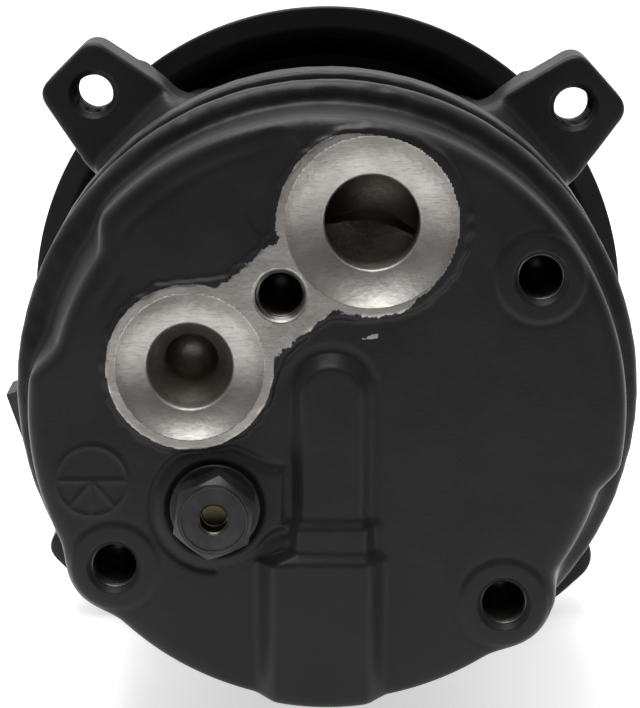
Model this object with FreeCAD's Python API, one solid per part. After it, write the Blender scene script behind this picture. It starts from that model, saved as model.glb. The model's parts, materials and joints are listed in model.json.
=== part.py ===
import FreeCAD, Part
import math
import os

# Five-cylinder variable-displacement air-conditioning compressor with a magnetic clutch.
# Millimetres, +Z up. The shaft runs along Y: the rear head with the two gas ports faces -Y
# and the belt pulley is at +Y. The origin is on the shaft's axis in the belt's middle plane.

# ---- lengths along the shaft, rear to front ----
plateau_depth = 17.0        # rear head, port face to the flange
rear_flange_t = 5.3         # rear head's outer flange
rear_neck_t = 11.7          # rear head's neck between its flange and the block
block_length = 40.0         # cylinder block
joint_width = 1.3           # stretch of the block left bare between the two heads
front_rim_t = 12.0          # front head's thick rim
crank_room = 42.0           # block's front face to the front head's inner wall
end_wall_t = 9.0            # front head's end wall
nose_length = 27.0          # bearing nose that carries the pulley
belt_offset = 9.5           # end wall's outside to the belt's middle plane

# ---- round sizes of the casings; the lips and steps count from the front head's skirt ----
skirt_r = 60.0
rim_lip = 3.3               # both heads' rims beyond the skirt
plateau_back = 4.1          # raised rear face inside the rim
plateau_drop = 1.2          # plateau's centre below the shaft
block_lip = 0.3             # block's bare stretch and the rear neck beyond the skirt
pocket_wall = 3.3           # rear head's wall round the valve stack
head_wall = 4.0
spigot_wall = 2.6
flange_bevel = 2.0          # rounded-off rear edge of the rear flange
valve_pocket_depth = 4.0
nose_r = 17.5
coil_seat_lip = 0.9         # end wall beyond the coil
rim_edge = 0.8              # bevel on the rims
bolt_boss_wall = 3.3        # metal round a bolt's hole
seal_cord_r = 0.8           # section of the casing's seal rings

# ---- cylinders, pistons and rods ----
cylinders = 5
bore_r = 17.0
bore_circle_r = 37.5
first_bore_deg = 94.5
piston_gap = 0.05
ring_gap = 0.02
piston_length = 20.0
crown_gap = 0.6
pin_depth = 8.0             # piston crown to the middle of the rod's ball
rod_length = 34.0           # between the middles of the rod's two balls
piston_ball_r = 4.8
plate_ball_r = 5.0
rod_r = 3.5
rod_neck_r = 2.6
ball_gap = 0.1
open_joint_gap = 0.5        # play in the plate's sockets

# ---- shaft, journal and wobble plate ----
shaft_r = 8.0
shaft_gap = 0.03
sleeve_r = 10.5
sleeve_half = 6.0
journal_bore_r = 14.0
journal_hub_r = 17.0
journal_flange_r = 30.0
journal_back = 4.5          # hub's reach behind the ball plane
flange_at = 8.6             # flange's place in front of the ball plane
flange_t = 2.4
pivot_pin_r = 2.2
plate_r = 42.0
plate_back = 1.0            # plate's rear face in front of the ball plane
plate_t = 6.0
cup_r = 8.0
cup_reach = 2.9             # cups' reach behind the ball plane
max_tilt_deg = 20.0
drive_pin_r = 2.5
drive_pin_gap = 0.25
drive_pin_ahead = 22.0      # drive pin in front of the ball plane
drive_pin_up = 27.0         # drive pin above the axis, at no tilt
ear_half = 4.6
cheek_inner = 5.0
cheek_outer = 9.0
lug_hub_r = 12.0
lug_hub_t = 5.5
thrust_stack = 3.0          # lug to end wall: race, needles
guide_r = 4.7
guide_gap = 0.3
guide_at = 46.0             # guide shoe's inner face, from the axis
guide_arm_r = 2.2
guide_t = 5.0

# ---- through bolts ----
bolt_r = 4.0
bolt_circle_r = 51.2
bolt_hole_gap = 0.3
bolt_head_rim = 2.5         # bolt head beyond the shank
bolt_head_t = 5.0
bolt_thread_reach = 12.0    # thread engaged in the rear head
first_bolt_deg = -19.5

# ---- mounting ears on the front head ----
ear_degs = (42.0, 135.0, 225.0, 312.5)
ear_hole_out = 14.0         # ear hole's axis beyond the skirt
ear_rim = 9.3               # ear's tip beyond the hole's axis
ear_tip_width = 17.4
ear_root_width = 25.0
ear_root_out = 4.5          # ear's full width reached this far beyond the skirt
ear_setback = 36.0          # end wall's outside back to the ears' rear faces
ear_t = 16.0
ear_corner_r = 2.5
tap_r = 4.25                # M10 thread's minor radius
tap_mouth_r = 5.3
tap_depth = 16.0

# ---- rear head: ports, tapped holes and valves, places as (x, z) ----
suction_at = (8.8, 37.6)
discharge_at = (-27.1, 8.8)
pad_proud = 1.0
suction_boss_r = 19.0
discharge_boss_r = 17.0
suction_seal_r = 16.9
discharge_seal_r = 14.7
seal_depth = 0.7
suction_bore_r = 9.3
discharge_bore_r = 8.4
port_depth = 13.0
pad_neck_half = 9.5
rear_taps = ((42.0, 26.5), (-42.6, -32.2), (35.5, -39.8))
tap_boss_r = 8.9
partition_r = 35.0          # wall between the discharge and suction chambers
partition_t = 3.0
suction_room_r = 50.0
chamber_depth = 10.0
relief_at = (-22.3, -20.0)
relief_pocket_r = 12.6
relief_pocket_depth = 2.2
relief_boss_r = 10.0
relief_hex_flat = 15.0
relief_hex_t = 8.4
relief_shank_r = 6.0
relief_shank_t = 12.0
relief_bore_r = 3.4
relief_vent_r = 2.7
relief_turn_deg = -8.0
valve_x = -0.8              # control valve's axis
valve_axis_depth = 8.0      # behind the plateau face
valve_housing_r = 13.0
valve_bore_r = 10.6
valve_low_r = 11.8          # housing's collar
valve_waist_bore_r = 6.6
valve_tip_bore_r = 4.2
rib_x = -0.5
rib_half = 6.65
rib_proud = 2.3
rib_top = 10.0
waist_top = -22.0
waist_bottom = -30.0
valve_end = -58.0
valve_tip_top = -6.0
dial_at = (-46.8, -14.5)
dial_r = 7.3
dial_line = 0.5
notches = ((143.0, 171.0, 4.9), (-39.0, -14.0, 3.9))    # from, to, depth into the plateau

# ---- pulley, coil and clutch ----
pulley_r = 69.2             # rear flange
rib_drop = 2.2              # belt ribs' tips inside the flange
pulley_flange_t = 2.6
pulley_width = 27.0
pulley_rim_t = 5.4
rim_mouth_wall = 5.2        # rear flange's face, outside the flared mouth
groove_count = 6
groove_pitch = 3.56
groove_depth = 3.0
rotor_outer_r = 57.5
web_t = 5.0
rotor_face_at = 20.0        # friction face in front of the belt plane
rotor_face_t = 6.0
bearing_section = 8.5       # bearing's outer radius less its inner one
bearing_width = 20.0
bearing_at = -4.5           # bearing's rear face
race_t = 2.4
bearing_ball_r = 2.8
balls_per_row = 14
rotor_hub_t = 4.8           # rotor's wall between the bearing and the coil
coil_outer_r = 53.5
coil_wall = 2.5
coil_length = 18.0
coil_back_t = 3.0
coil_gap = 0.7
air_gap = 0.5
armature_r = 52.0
armature_inner_r = 27.0
armature_t = 4.0
hub_plate_r = 24.0
hub_plate_t = 2.5
hub_at = 26.0
hub_boss_r = 11.0
shaft_end_r = 6.5
shaft_thread_r = 5.0
nut_flat = 17.0
nut_t = 6.0
spring_count = 3
connector_deg = 199.0
connector_width = 13.0
connector_reach_r = 76.5
connector_length = 15.0
connector_setback = 25.0    # end wall's outside back to the plug housing's rear
seat_gap = 0.3

# ---- places along Y, worked out from the lengths ----
y_nose = -belt_offset
y_nose_end = y_nose + nose_length
y_wall = y_nose - end_wall_t
y_block_end = y_wall - crank_room
y_block = y_block_end - block_length
y_front_rim = y_block + joint_width
y_skirt = y_front_rim + front_rim_t
y_neck = y_block - rear_neck_t
y_flange = y_neck - rear_flange_t
y_rear = y_flange - plateau_depth
y_pocket = y_block - valve_pocket_depth
y_chamber = y_pocket - chamber_depth
y_ear = y_nose - ear_setback
y_crown = y_block + crown_gap
y_piston_ball = y_crown + pin_depth
y_ball = y_piston_ball + rod_length
y_lug_front = y_wall - thrust_stack
y_lug_back = y_lug_front - lug_hub_t
y_valve_axis = y_rear + valve_axis_depth
y_rim_back = -pulley_width / 2
y_rim_front = pulley_width / 2

# ---- radii worked out from the others ----
rim_r = skirt_r + rim_lip
plateau_r = rim_r - plateau_back
block_r = skirt_r + block_lip
valve_pocket_r = block_r - pocket_wall
spigot_r = skirt_r - spigot_wall
skirt_front_r = coil_outer_r + coil_seat_lip
ear_hole_circle_r = skirt_r + ear_hole_out
ear_reach_r = ear_hole_circle_r + ear_rim
ear_root_r = skirt_r + ear_root_out
bolt_head_r = bolt_r + bolt_head_rim
bolt_boss_r = bolt_r + bolt_hole_gap + bolt_boss_wall
rib_r = pulley_r - rib_drop
rim_inner_r = rib_r - pulley_rim_t
rim_mouth_r = pulley_r - rim_mouth_wall
bearing_outer_r = nose_r + bearing_section
coil_inner_r = bearing_outer_r + rotor_hub_t + coil_gap

bore_degs = [first_bore_deg + 360.0 / cylinders * k for k in range(cylinders)]
bolt_degs = [first_bolt_deg + 360.0 / cylinders * k for k in range(cylinders)]

nodes = {}


def vec(x, y, z):
    return FreeCAD.Vector(x, y, z)


def polar(radius, degrees):
    """Place (x, z) at a radius and an angle round the shaft, from +X towards +Z."""
    angle = math.radians(degrees)
    return radius * math.cos(angle), radius * math.sin(angle)


def rod_y(radius, y0, y1, at=(0.0, 0.0)):
    """Solid cylinder along Y."""
    return Part.makeCylinder(radius, y1 - y0, vec(at[0], y0, at[1]), vec(0, 1, 0))


def tube_y(outer, inner, y0, y1, at=(0.0, 0.0)):
    """Ring along Y."""
    return rod_y(outer, y0, y1, at).cut(rod_y(inner, y0 - 1, y1 + 1, at))


def cone_y(r0, r1, y0, y1, at=(0.0, 0.0)):
    """Cone along Y, r0 at y0 and r1 at y1."""
    return Part.makeCone(r0, r1, y1 - y0, vec(at[0], y0, at[1]), vec(0, 1, 0))


def ball(radius, x, y, z):
    return Part.makeSphere(radius, vec(x, y, z))


def block_xyz(x0, x1, y0, y1, z0, z1):
    return Part.makeBox(x1 - x0, y1 - y0, z1 - z0, vec(x0, y0, z0))


def face_of(points):
    """Flat face inside a closed run of straight edges."""
    return Part.Face(Part.makePolygon(points + [points[0]]))


def turned(profile):
    """Solid of revolution about the shaft's axis, from (radius, y) points."""
    face = face_of([vec(r, y, 0) for r, y in profile])
    return face.revolve(vec(0, 0, 0), vec(0, 1, 0), 360)


def plate_y(points, y0, y1):
    """Flat plate square to Y, from (x, z) points."""
    return face_of([vec(x, y0, z) for x, z in points]).extrude(vec(0, y1 - y0, 0))


def spun(shape, degrees, about=(0.0, 0.0)):
    """Copy turned about an axis along Y, from +X towards +Z."""
    copy = shape.copy()
    copy.rotate(vec(about[0], 0, about[1]), vec(0, -1, 0), degrees)
    return copy


def ringed(shape, count, first=0.0):
    """Copies spaced evenly round the shaft."""
    return [spun(shape, first + 360.0 / count * k) for k in range(count)]


def joined(shapes):
    whole = shapes[0]
    if len(shapes) > 1:
        whole = whole.fuse(shapes[1:])
    return whole.removeSplitter()


def hexagon(across_flats, y0, y1, at=(0.0, 0.0), turn=0.0):
    """Hexagonal prism along Y."""
    corner_r = across_flats / math.sqrt(3)
    points = []
    for k in range(6):
        dx, dz = polar(corner_r, 90 + turn + 60 * k)
        points.append((at[0] + dx, at[1] + dz))
    return plate_y(points, y0, y1)


def sector(r_in, r_out, deg0, deg1, y0, y1):
    """Part of a ring between two angles."""
    wedge = Part.makeCylinder(r_out, y1 - y0, vec(0, y0, 0), vec(0, 1, 0), deg1 - deg0)
    box = wedge.BoundBox
    start = math.degrees(math.atan2(box.ZMax + box.ZMin, box.XMax + box.XMin))
    wedge = spun(wedge, (deg0 + deg1) / 2 - start)
    return wedge.cut(rod_y(r_in, y0 - 1, y1 + 1))


def tapped_hole(at, y_face, depth, toward=1):
    """Blind tapped hole with a chamfered mouth; toward is the way that it goes in."""
    tip = tap_r * 0.55
    mouth = tap_mouth_r - tap_r
    hole = rod_y(tap_r, min(y_face, y_face + toward * depth), max(y_face, y_face + toward * depth), at)
    if toward > 0:
        drill_tip = cone_y(tap_r, 0.01, y_face + depth, y_face + depth + tip, at)
        chamfer = cone_y(tap_mouth_r, tap_r, y_face, y_face + mouth, at)
    else:
        drill_tip = cone_y(0.01, tap_r, y_face - depth - tip, y_face - depth, at)
        chamfer = cone_y(tap_r, tap_mouth_r, y_face - mouth, y_face, at)
    return hole.fuse([drill_tip, chamfer])


# ---- rear head ----

def port_pad(y0, y1, grow=0.0):
    """Outline of the machined pad round both ports, as a plate."""
    dx = suction_at[0] - discharge_at[0]
    dz = suction_at[1] - discharge_at[1]
    length = math.hypot(dx, dz)
    nx, nz = -dz / length * (pad_neck_half + grow), dx / length * (pad_neck_half + grow)
    neck = plate_y([(discharge_at[0] + nx, discharge_at[1] + nz),
                    (suction_at[0] + nx, suction_at[1] + nz),
                    (suction_at[0] - nx, suction_at[1] - nz),
                    (discharge_at[0] - nx, discharge_at[1] - nz)], y0, y1)
    return joined([neck, rod_y(suction_boss_r + grow, y0, y1, suction_at),
                   rod_y(discharge_boss_r + grow, y0, y1, discharge_at)])


def manifold_bolt_at():
    return ((suction_at[0] + discharge_at[0]) / 2, (suction_at[1] + discharge_at[1]) / 2)


def rear_casting():
    """Outside of the rear head, before any hole."""
    edge = 2.0
    bevel = flange_bevel
    plateau = turned([(0, y_rear), (plateau_r - edge, y_rear), (plateau_r, y_rear + edge),
                      (plateau_r, y_flange + 1), (0, y_flange + 1)])
    plateau.translate(vec(0, 0, -plateau_drop))
    body = turned([(0, y_flange), (rim_r - bevel, y_flange), (rim_r, y_flange + bevel),
                   (rim_r, y_neck - rim_edge), (rim_r - rim_edge, y_neck), (block_r, y_neck),
                   (block_r, y_block), (0, y_block)])
    for deg0, deg1, depth in notches:
        plateau = plateau.cut(sector(plateau_r - depth, rim_r + 5, deg0, deg1, y_rear - 1, y_flange))
    bosses = [rod_y(tap_boss_r, y_rear, y_flange, at).common(rod_y(rim_r - bevel, y_rear, y_flange))
              for at in rear_taps]
    return joined([body, plateau] + bosses)


def valve_housing():
    """Raised housing of the control valve and the passage rib above it."""
    axis = vec(0, 0, 1)
    big = Part.makeCylinder(valve_housing_r, waist_bottom - valve_end,
                            vec(valve_x, y_valve_axis, valve_end), axis)
    waist = Part.makeCylinder(valve_low_r, waist_top - waist_bottom,
                              vec(valve_x, y_valve_axis, waist_bottom), axis)
    rib = block_xyz(rib_x - rib_half, rib_x + rib_half, y_rear - rib_proud, y_rear + 1,
                    waist_top, rib_top - rib_half)
    cap = rod_y(rib_half, y_rear - rib_proud, y_rear + 1, (rib_x, rib_top - rib_half))
    return joined([big, waist, rib, cap])


def valve_bore():
    """Stepped bore that takes the control valve from below."""
    axis = vec(0, 0, 1)
    low = Part.makeCylinder(valve_bore_r, waist_bottom - valve_end + 4,
                            vec(valve_x, y_valve_axis, valve_end - 4), axis)
    mid = Part.makeCylinder(valve_waist_bore_r, waist_top - waist_bottom,
                            vec(valve_x, y_valve_axis, waist_bottom), axis)
    top = Part.makeCylinder(valve_tip_bore_r, valve_tip_top - waist_top,
                            vec(valve_x, y_valve_axis, waist_top), axis)
    groove = Part.makeCylinder(valve_bore_r + 1.0, 1.4,
                               vec(valve_x, y_valve_axis, valve_end + 2), axis)
    return low.fuse([mid, top, groove])


def dial_lines():
    """Raised ring, bar and three spokes of the casting-date dial."""
    y0, y1 = y_rear - dial_line, y_rear + 0.5
    ring = tube_y(dial_r, dial_r - dial_line, y0, y1, dial_at)
    x, z = dial_at
    bar = block_xyz(x - dial_r + 0.2, x + dial_r - 0.2, y0, y1, z, z + dial_line)
    lines = [ring, bar]
    spoke = block_xyz(x, x + dial_r - 0.2, y0, y1, z - dial_line / 2, z + dial_line / 2)
    for degrees in (-50.0, -90.0, -130.0):
        lines.append(spun(spoke, degrees, dial_at))
    return lines


def relief_valve_seat():
    """Counterbore and passage of the relief valve."""
    face = y_rear - 1
    passage = rod_y(2.5, face, y_chamber + 1, relief_at)
    thread = rod_y(relief_shank_r, face, y_rear + relief_shank_t, relief_at)
    return [passage, thread]


def suction_passages():
    """Bore of the suction port and the slanting way into its chamber."""
    x, z = suction_at
    reach = math.hypot(x, z)
    middle = (suction_room_r + partition_r + partition_t / 2) / 2
    inner_at = (x * middle / reach, z * middle / reach)
    floor = y_rear + port_depth
    return [rod_y(suction_bore_r, y_rear - 5, floor, suction_at),
            rod_y(5.2, floor - 1, y_chamber + 1, inner_at),
            tube_y(suction_boss_r - 1.2, suction_seal_r, y_rear - pad_proud - 1,
                   y_rear - pad_proud + 0.2, suction_at),
            rod_y(suction_seal_r, y_rear - pad_proud - 1, y_rear - pad_proud + seal_depth,
                  suction_at)]


def discharge_passages():
    """Stepped bore of the discharge port."""
    floor = y_rear + port_depth
    return [rod_y(discharge_bore_r, y_rear - 5, floor - 3, discharge_at),
            rod_y(5.8, floor - 4, floor, discharge_at),
            rod_y(4.6, floor - 1, y_chamber + 1, discharge_at),
            rod_y(discharge_seal_r, y_rear - pad_proud - 1, y_rear - pad_proud + seal_depth,
                  discharge_at)]


def gas_chambers():
    """Discharge chamber in the middle, suction ring round it, bolt posts left standing."""
    inner = rod_y(partition_r - partition_t / 2, y_chamber, y_pocket + 0.5)
    outer = tube_y(suction_room_r, partition_r + partition_t / 2, y_chamber, y_pocket + 0.5)
    posts = [rod_y(bolt_head_r, y_chamber - 1, y_pocket + 1, polar(bolt_circle_r, deg))
             for deg in bolt_degs]
    return [inner, outer.cut(posts)]


def make_rear_head():
    head = joined([rear_casting(), port_pad(y_rear - pad_proud, y_rear + 1), valve_housing()])
    pocket = tube_y(relief_pocket_r, relief_boss_r, y_rear - 1, y_rear + relief_pocket_depth,
                    relief_at).cut(valve_housing())
    head = head.cut(pocket)
    head = head.fuse(dial_lines())
    cuts = suction_passages() + discharge_passages() + gas_chambers() + relief_valve_seat()
    cuts.append(valve_bore())
    cuts.append(rod_y(valve_pocket_r, y_pocket, y_block + 1))
    cuts.append(tapped_hole(manifold_bolt_at(), y_rear - pad_proud, tap_depth))
    for at in rear_taps:
        cuts.append(tapped_hole(at, y_rear, tap_depth))
    for deg in bolt_degs:
        cuts.append(rod_y(bolt_r, y_pocket - bolt_thread_reach + 4, y_pocket + 1,
                          polar(bolt_circle_r, deg)))
    cuts.append(head_ring_groove())
    return head.cut(cuts).removeSplitter()


def head_ring_middle():
    return (valve_pocket_r + block_r) / 2


def head_ring_groove():
    """Groove for the seal ring between the rear head and the block."""
    middle = head_ring_middle()
    return tube_y(middle + seal_cord_r, middle - seal_cord_r, y_block - 2 * seal_cord_r,
                  y_block + 1)


# ---- valve plate stack, between the rear head and the block ----

stack = {"rear_gasket": 0.6, "discharge_reeds": 0.5, "valve_plate": 2.4,
         "suction_reeds": 0.5}


def stack_disc(thickness, y0):
    """Disc of the valve stack with its bolt holes."""
    disc = rod_y(valve_pocket_r - 0.2, y0, y0 + thickness)
    holes = [rod_y(bolt_r + bolt_hole_gap, y0 - 1, y0 + thickness + 1,
                   polar(bolt_circle_r, deg)) for deg in bolt_degs]
    return disc.cut(holes)


def make_valve_stack():
    y = y_pocket
    discharge_port_r = partition_r - partition_t / 2 - 5.0
    suction_port_r = partition_r + partition_t / 2 + 7.5
    for name, thickness in stack.items():
        disc = stack_disc(thickness, y)
        cuts = []
        for deg in bore_degs:
            out = (y - 1, y + thickness + 1)
            if name == "valve_plate":
                cuts.append(rod_y(2.6, *out, polar(discharge_port_r, deg)))
                cuts.append(rod_y(3.2, *out, polar(suction_port_r, deg + 6)))
                cuts.append(rod_y(3.2, *out, polar(suction_port_r, deg - 6)))
            if name == "suction_reeds":
                slot = sector(suction_port_r - 6, suction_port_r + 4.5, deg + 13, deg + 15, *out)
                cuts.append(slot)
                cuts.append(sector(suction_port_r - 6, suction_port_r + 4.5,
                                   deg - 15, deg - 13, *out))
                cuts.append(rod_y(2.8, *out, polar(discharge_port_r, deg)))
            if name == "discharge_reeds":
                cuts.append(rod_y(3.4, *out, polar(suction_port_r, deg + 6)))
                cuts.append(rod_y(3.4, *out, polar(suction_port_r, deg - 6)))
                cuts.append(sector(discharge_port_r - 8, discharge_port_r + 3.4,
                                   deg + 12, deg + 14, *out))
                cuts.append(sector(discharge_port_r - 8, discharge_port_r + 3.4,
                                   deg - 14, deg - 12, *out))
            if name == "rear_gasket":
                cuts.append(rod_y(4.0, *out, polar(discharge_port_r, deg)))
                cuts.append(rod_y(3.6, *out, polar(suction_port_r, deg + 6)))
                cuts.append(rod_y(3.6, *out, polar(suction_port_r, deg - 6)))
        nodes[name] = disc.cut(cuts)
        y += thickness


# ---- cylinder block ----

bush_t = 1.5
rear_bush_length = 14.0
shaft_back = 10.0           # shaft's rear end in front of the block's rear face


def make_cylinder_block():
    body = turned([(0, y_block), (block_r - 0.6, y_block), (block_r, y_block + 0.6),
                   (block_r, y_front_rim), (spigot_r, y_front_rim), (spigot_r, y_block_end),
                   (0, y_block_end)])
    cuts = [rod_y(bore_r, y_block - 1, y_block_end + 1, polar(bore_circle_r, deg))
            for deg in bore_degs]
    cuts += [rod_y(bolt_r + bolt_hole_gap, y_block - 1, y_block_end + 1,
                   polar(bolt_circle_r, deg)) for deg in bolt_degs]
    cuts.append(rod_y(shaft_r + bush_t, y_block + shaft_back - 2, y_block_end + 1))
    cuts.append(rod_y(journal_hub_r + 1.0, y_ball - journal_back - 1.5, y_block_end + 1))
    cuts.append(rod_y(sleeve_r + 1.5, y_ball - sleeve_half - 1.5, y_block_end + 1))
    half = guide_r + guide_gap
    cuts.append(block_xyz(guide_at - guide_gap, guide_at + guide_t + guide_gap,
                          y_ball - half, y_block_end + 1, -half, half))
    groove_y = y_front_rim + 3.0
    cord = seal_cord_r
    cuts.append(tube_y(spigot_r + 1, spigot_r - 2 * cord, groove_y, groove_y + 2 * cord))
    nodes["cylinder_block"] = body.cut(cuts)
    ring = Part.makeTorus(spigot_r - cord, cord, vec(0, groove_y + cord, 0), vec(0, 1, 0))
    middle = head_ring_middle()
    rear_ring = Part.makeTorus(middle, cord, vec(0, y_block - cord, 0), vec(0, 1, 0))
    nodes["housing_seal_rings"] = Part.makeCompound([rear_ring, ring])
    y0 = y_block + shaft_back
    nodes["rear_bush"] = tube_y(shaft_r + bush_t, shaft_r + shaft_gap, y0, y0 + rear_bush_length)


# ---- front head, with the ears ----

def skirt_at(y):
    """Outer radius of the front head's skirt, which narrows towards the end wall."""
    share = max(0.0, (y - y_block_end) / (y_nose - y_block_end))
    return skirt_r + (skirt_front_r - skirt_r) * share


def ear_blank(degrees):
    """One ear, wide at its root and narrower at its tip."""
    half, root = ear_tip_width / 2, ear_root_width / 2
    foot = skirt_at(y_ear) - head_wall / 2
    outline = [(foot, -root), (ear_root_r, -root),
               (ear_reach_r - ear_corner_r, -half), (ear_reach_r, -half + ear_corner_r),
               (ear_reach_r, half - ear_corner_r), (ear_reach_r - ear_corner_r, half),
               (ear_root_r, root), (foot, root)]
    return spun(plate_y(outline, y_ear, y_ear + ear_t), degrees)


def ear_hole(degrees):
    """Tapped hole right through an ear, chamfered at both ends."""
    at = polar(ear_hole_circle_r, degrees)
    mouth = tap_mouth_r - tap_r
    through = rod_y(tap_r, y_ear - 1, y_ear + ear_t + 1, at)
    back = cone_y(tap_mouth_r, tap_r, y_ear, y_ear + mouth, at)
    front = cone_y(tap_r, tap_mouth_r, y_ear + ear_t - mouth, y_ear + ear_t, at)
    return through.fuse([back, front])


seal_length = 10.0
seal_r = 14.0
front_bush_length = 12.0
nose_clip_t = 1.2


def make_front_head():
    inner = skirt_at(y_wall) - head_wall
    mouth = skirt_at(y_block_end) - head_wall
    shell = turned([(spigot_r, y_front_rim), (rim_r - rim_edge, y_front_rim),
                    (rim_r, y_front_rim + rim_edge), (rim_r, y_skirt - rim_edge),
                    (rim_r - rim_edge, y_skirt), (skirt_r, y_skirt + 1.0),
                    (skirt_r, y_block_end), (skirt_front_r, y_nose), (nose_r, y_nose),
                    (nose_r, y_nose_end - 1),
                    (nose_r - 1, y_nose_end), (shaft_r + bush_t, y_nose_end),
                    (shaft_r + bush_t, y_wall), (inner, y_wall), (mouth, y_block_end),
                    (spigot_r, y_block_end)])
    bosses = [rod_y(bolt_boss_r, y_block_end, y_nose, polar(bolt_circle_r, deg))
              for deg in bolt_degs]
    shell = shell.fuse([ear_blank(deg) for deg in ear_degs] + bosses)
    rails = []
    for side in (-1, 1):
        z_near = guide_r + guide_gap
        z0, z1 = (z_near, z_near + 4) if side > 0 else (-z_near - 4, -z_near)
        rail = block_xyz(guide_at, mouth + 1, y_block_end + 1, y_wall + 1, z0, z1)
        rails.append(rail.common(cone_y(mouth + 1, inner + 1, y_block_end, y_wall + 1)))
    shell = shell.fuse(rails)
    cuts = [ear_hole(deg) for deg in ear_degs]
    for deg in bolt_degs:
        at = polar(bolt_circle_r, deg)
        cuts.append(rod_y(bolt_r + bolt_hole_gap, y_block_end - 1, y_nose + 1, at))
        cuts.append(rod_y(bolt_head_r + bolt_hole_gap, y_nose - bolt_head_t - 0.5, y_nose + 1, at))
    y_clip = y_nose_end - 4.0
    y_seal = y_clip - seal_length
    cuts.append(rod_y(seal_r, y_seal, y_nose_end + 1))
    cuts.append(rod_y(seal_r + 1.0, y_clip, y_clip + nose_clip_t))
    nodes["front_head"] = shell.cut(cuts).removeSplitter()
    nodes["front_bush"] = tube_y(shaft_r + bush_t, shaft_r + shaft_gap, y_wall,
                                 y_wall + front_bush_length)
    nodes["shaft_seal"] = turned([(shaft_r + shaft_gap, y_seal), (seal_r, y_seal),
                                  (seal_r, y_clip), (seal_r - 2, y_clip),
                                  (seal_r - 2, y_seal + 2.5), (shaft_r + 2, y_seal + 2.5),
                                  (shaft_r + shaft_gap, y_seal + 5)])
    nodes["seal_clip"] = open_ring(seal_r + 1.0, seal_r - 2.5, y_clip, nose_clip_t)


def open_ring(outer, inner, y0, thickness, gap_deg=30.0):
    """Retaining ring with a gap at the bottom."""
    ring = tube_y(outer, inner, y0, y0 + thickness)
    gap = sector(inner - 1, outer + 1, -90 - gap_deg / 2, -90 + gap_deg / 2, y0 - 1,
                 y0 + thickness + 1)
    return ring.cut(gap)


def make_through_bolts():
    bolts = []
    y_head = y_nose - bolt_head_t - 0.5
    for deg in bolt_degs:
        at = polar(bolt_circle_r, deg)
        shank = rod_y(bolt_r, y_pocket - bolt_thread_reach + 4, y_head, at)
        head = rod_y(bolt_head_r, y_head, y_head + bolt_head_t, at)
        socket = hexagon(6.0, y_head + 2, y_head + bolt_head_t + 1, at)
        bolts.append(shank.fuse(head).cut(socket))
    nodes["through_bolts"] = Part.makeCompound(bolts)


# ---- pistons and rods ----

def piston_at(degrees):
    """Piston with its ring: two solids."""
    at = polar(bore_circle_r, degrees)
    outer = bore_r - piston_gap
    y_end = y_crown + piston_length
    body = rod_y(outer, y_crown, y_end, at)
    boss_r = piston_ball_r + 3.7
    hollow = tube_y(outer - 2.5, boss_r, y_piston_ball - 3.5, y_end + 1, at)
    over_boss = rod_y(outer - 2.5, y_piston_ball + 2.6, y_end + 1, at)
    socket = ball(piston_ball_r + ball_gap, at[0], y_piston_ball, at[1])
    mouth = rod_y(math.sqrt((piston_ball_r + ball_gap) ** 2 - 2.5 ** 2), y_piston_ball,
                  y_piston_ball + 4, at)
    groove_y = y_crown + 2.2
    groove = tube_y(outer + 1, outer - 1.2, groove_y, groove_y + 1.8, at)
    ring = tube_y(bore_r - ring_gap, outer - 1.2, groove_y, groove_y + 1.8, at)
    piston = body.cut([hollow, over_boss, socket, mouth, groove])
    return Part.makeCompound([piston, ring])


def rod_at(degrees):
    """Connecting rod with a ball at each end and a thinner neck by the plate."""
    x, z = polar(bore_circle_r, degrees)
    neck_from = y_ball - 10.0
    shank = rod_y(rod_r, y_piston_ball, neck_from, (x, z))
    taper = cone_y(rod_r, rod_neck_r, neck_from, neck_from + 1.5, (x, z))
    neck = rod_y(rod_neck_r, neck_from + 1.5, y_ball, (x, z))
    return joined([ball(piston_ball_r, x, y_piston_ball, z), shank, taper, neck,
                   ball(plate_ball_r, x, y_ball, z)])


def make_pistons_and_rods():
    for number, deg in enumerate(bore_degs, start=1):
        nodes[f"piston_{number}"] = piston_at(deg)
        nodes[f"rod_{number}"] = rod_at(deg)


# ---- wobble plate, journal and sleeve ----

plate_bore_gap = 0.05
needle_r = 0.75


def make_wobble_plate():
    y0 = y_ball + plate_back
    y1 = y0 + plate_t
    solids = [rod_y(plate_r, y0, y1)]
    cuts = [rod_y(journal_hub_r + plate_bore_gap, y0 - 5, y1 + 1)]
    socket_r = plate_ball_r + open_joint_gap
    mouth_slope = math.tan(math.radians(58.0))
    for deg in bore_degs:
        x, z = polar(bore_circle_r, deg)
        solids.append(rod_y(cup_r, y_ball - cup_reach, y1, (x, z)))
        cuts.append(ball(socket_r, x, y_ball, z))
        reach = cup_reach + 1
        cuts.append(cone_y(reach * mouth_slope, 0.01, y_ball - reach, y_ball, (x, z)))
    arm_from = plate_r - 4
    arm = Part.makeCylinder(guide_arm_r, guide_at + guide_t - arm_from,
                            vec(arm_from, y_ball, 0), vec(1, 0, 0))
    arm_root = block_xyz(arm_from, plate_r + 2, y_ball - guide_arm_r, y1, -4, 4)
    solids += [arm, arm_root]
    nodes["wobble_plate"] = joined(solids).cut(cuts).removeSplitter()
    shoe = Part.makeCylinder(guide_r, guide_t, vec(guide_at, y_ball, 0), vec(1, 0, 0))
    nodes["guide_shoe"] = shoe.cut(arm)


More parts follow.
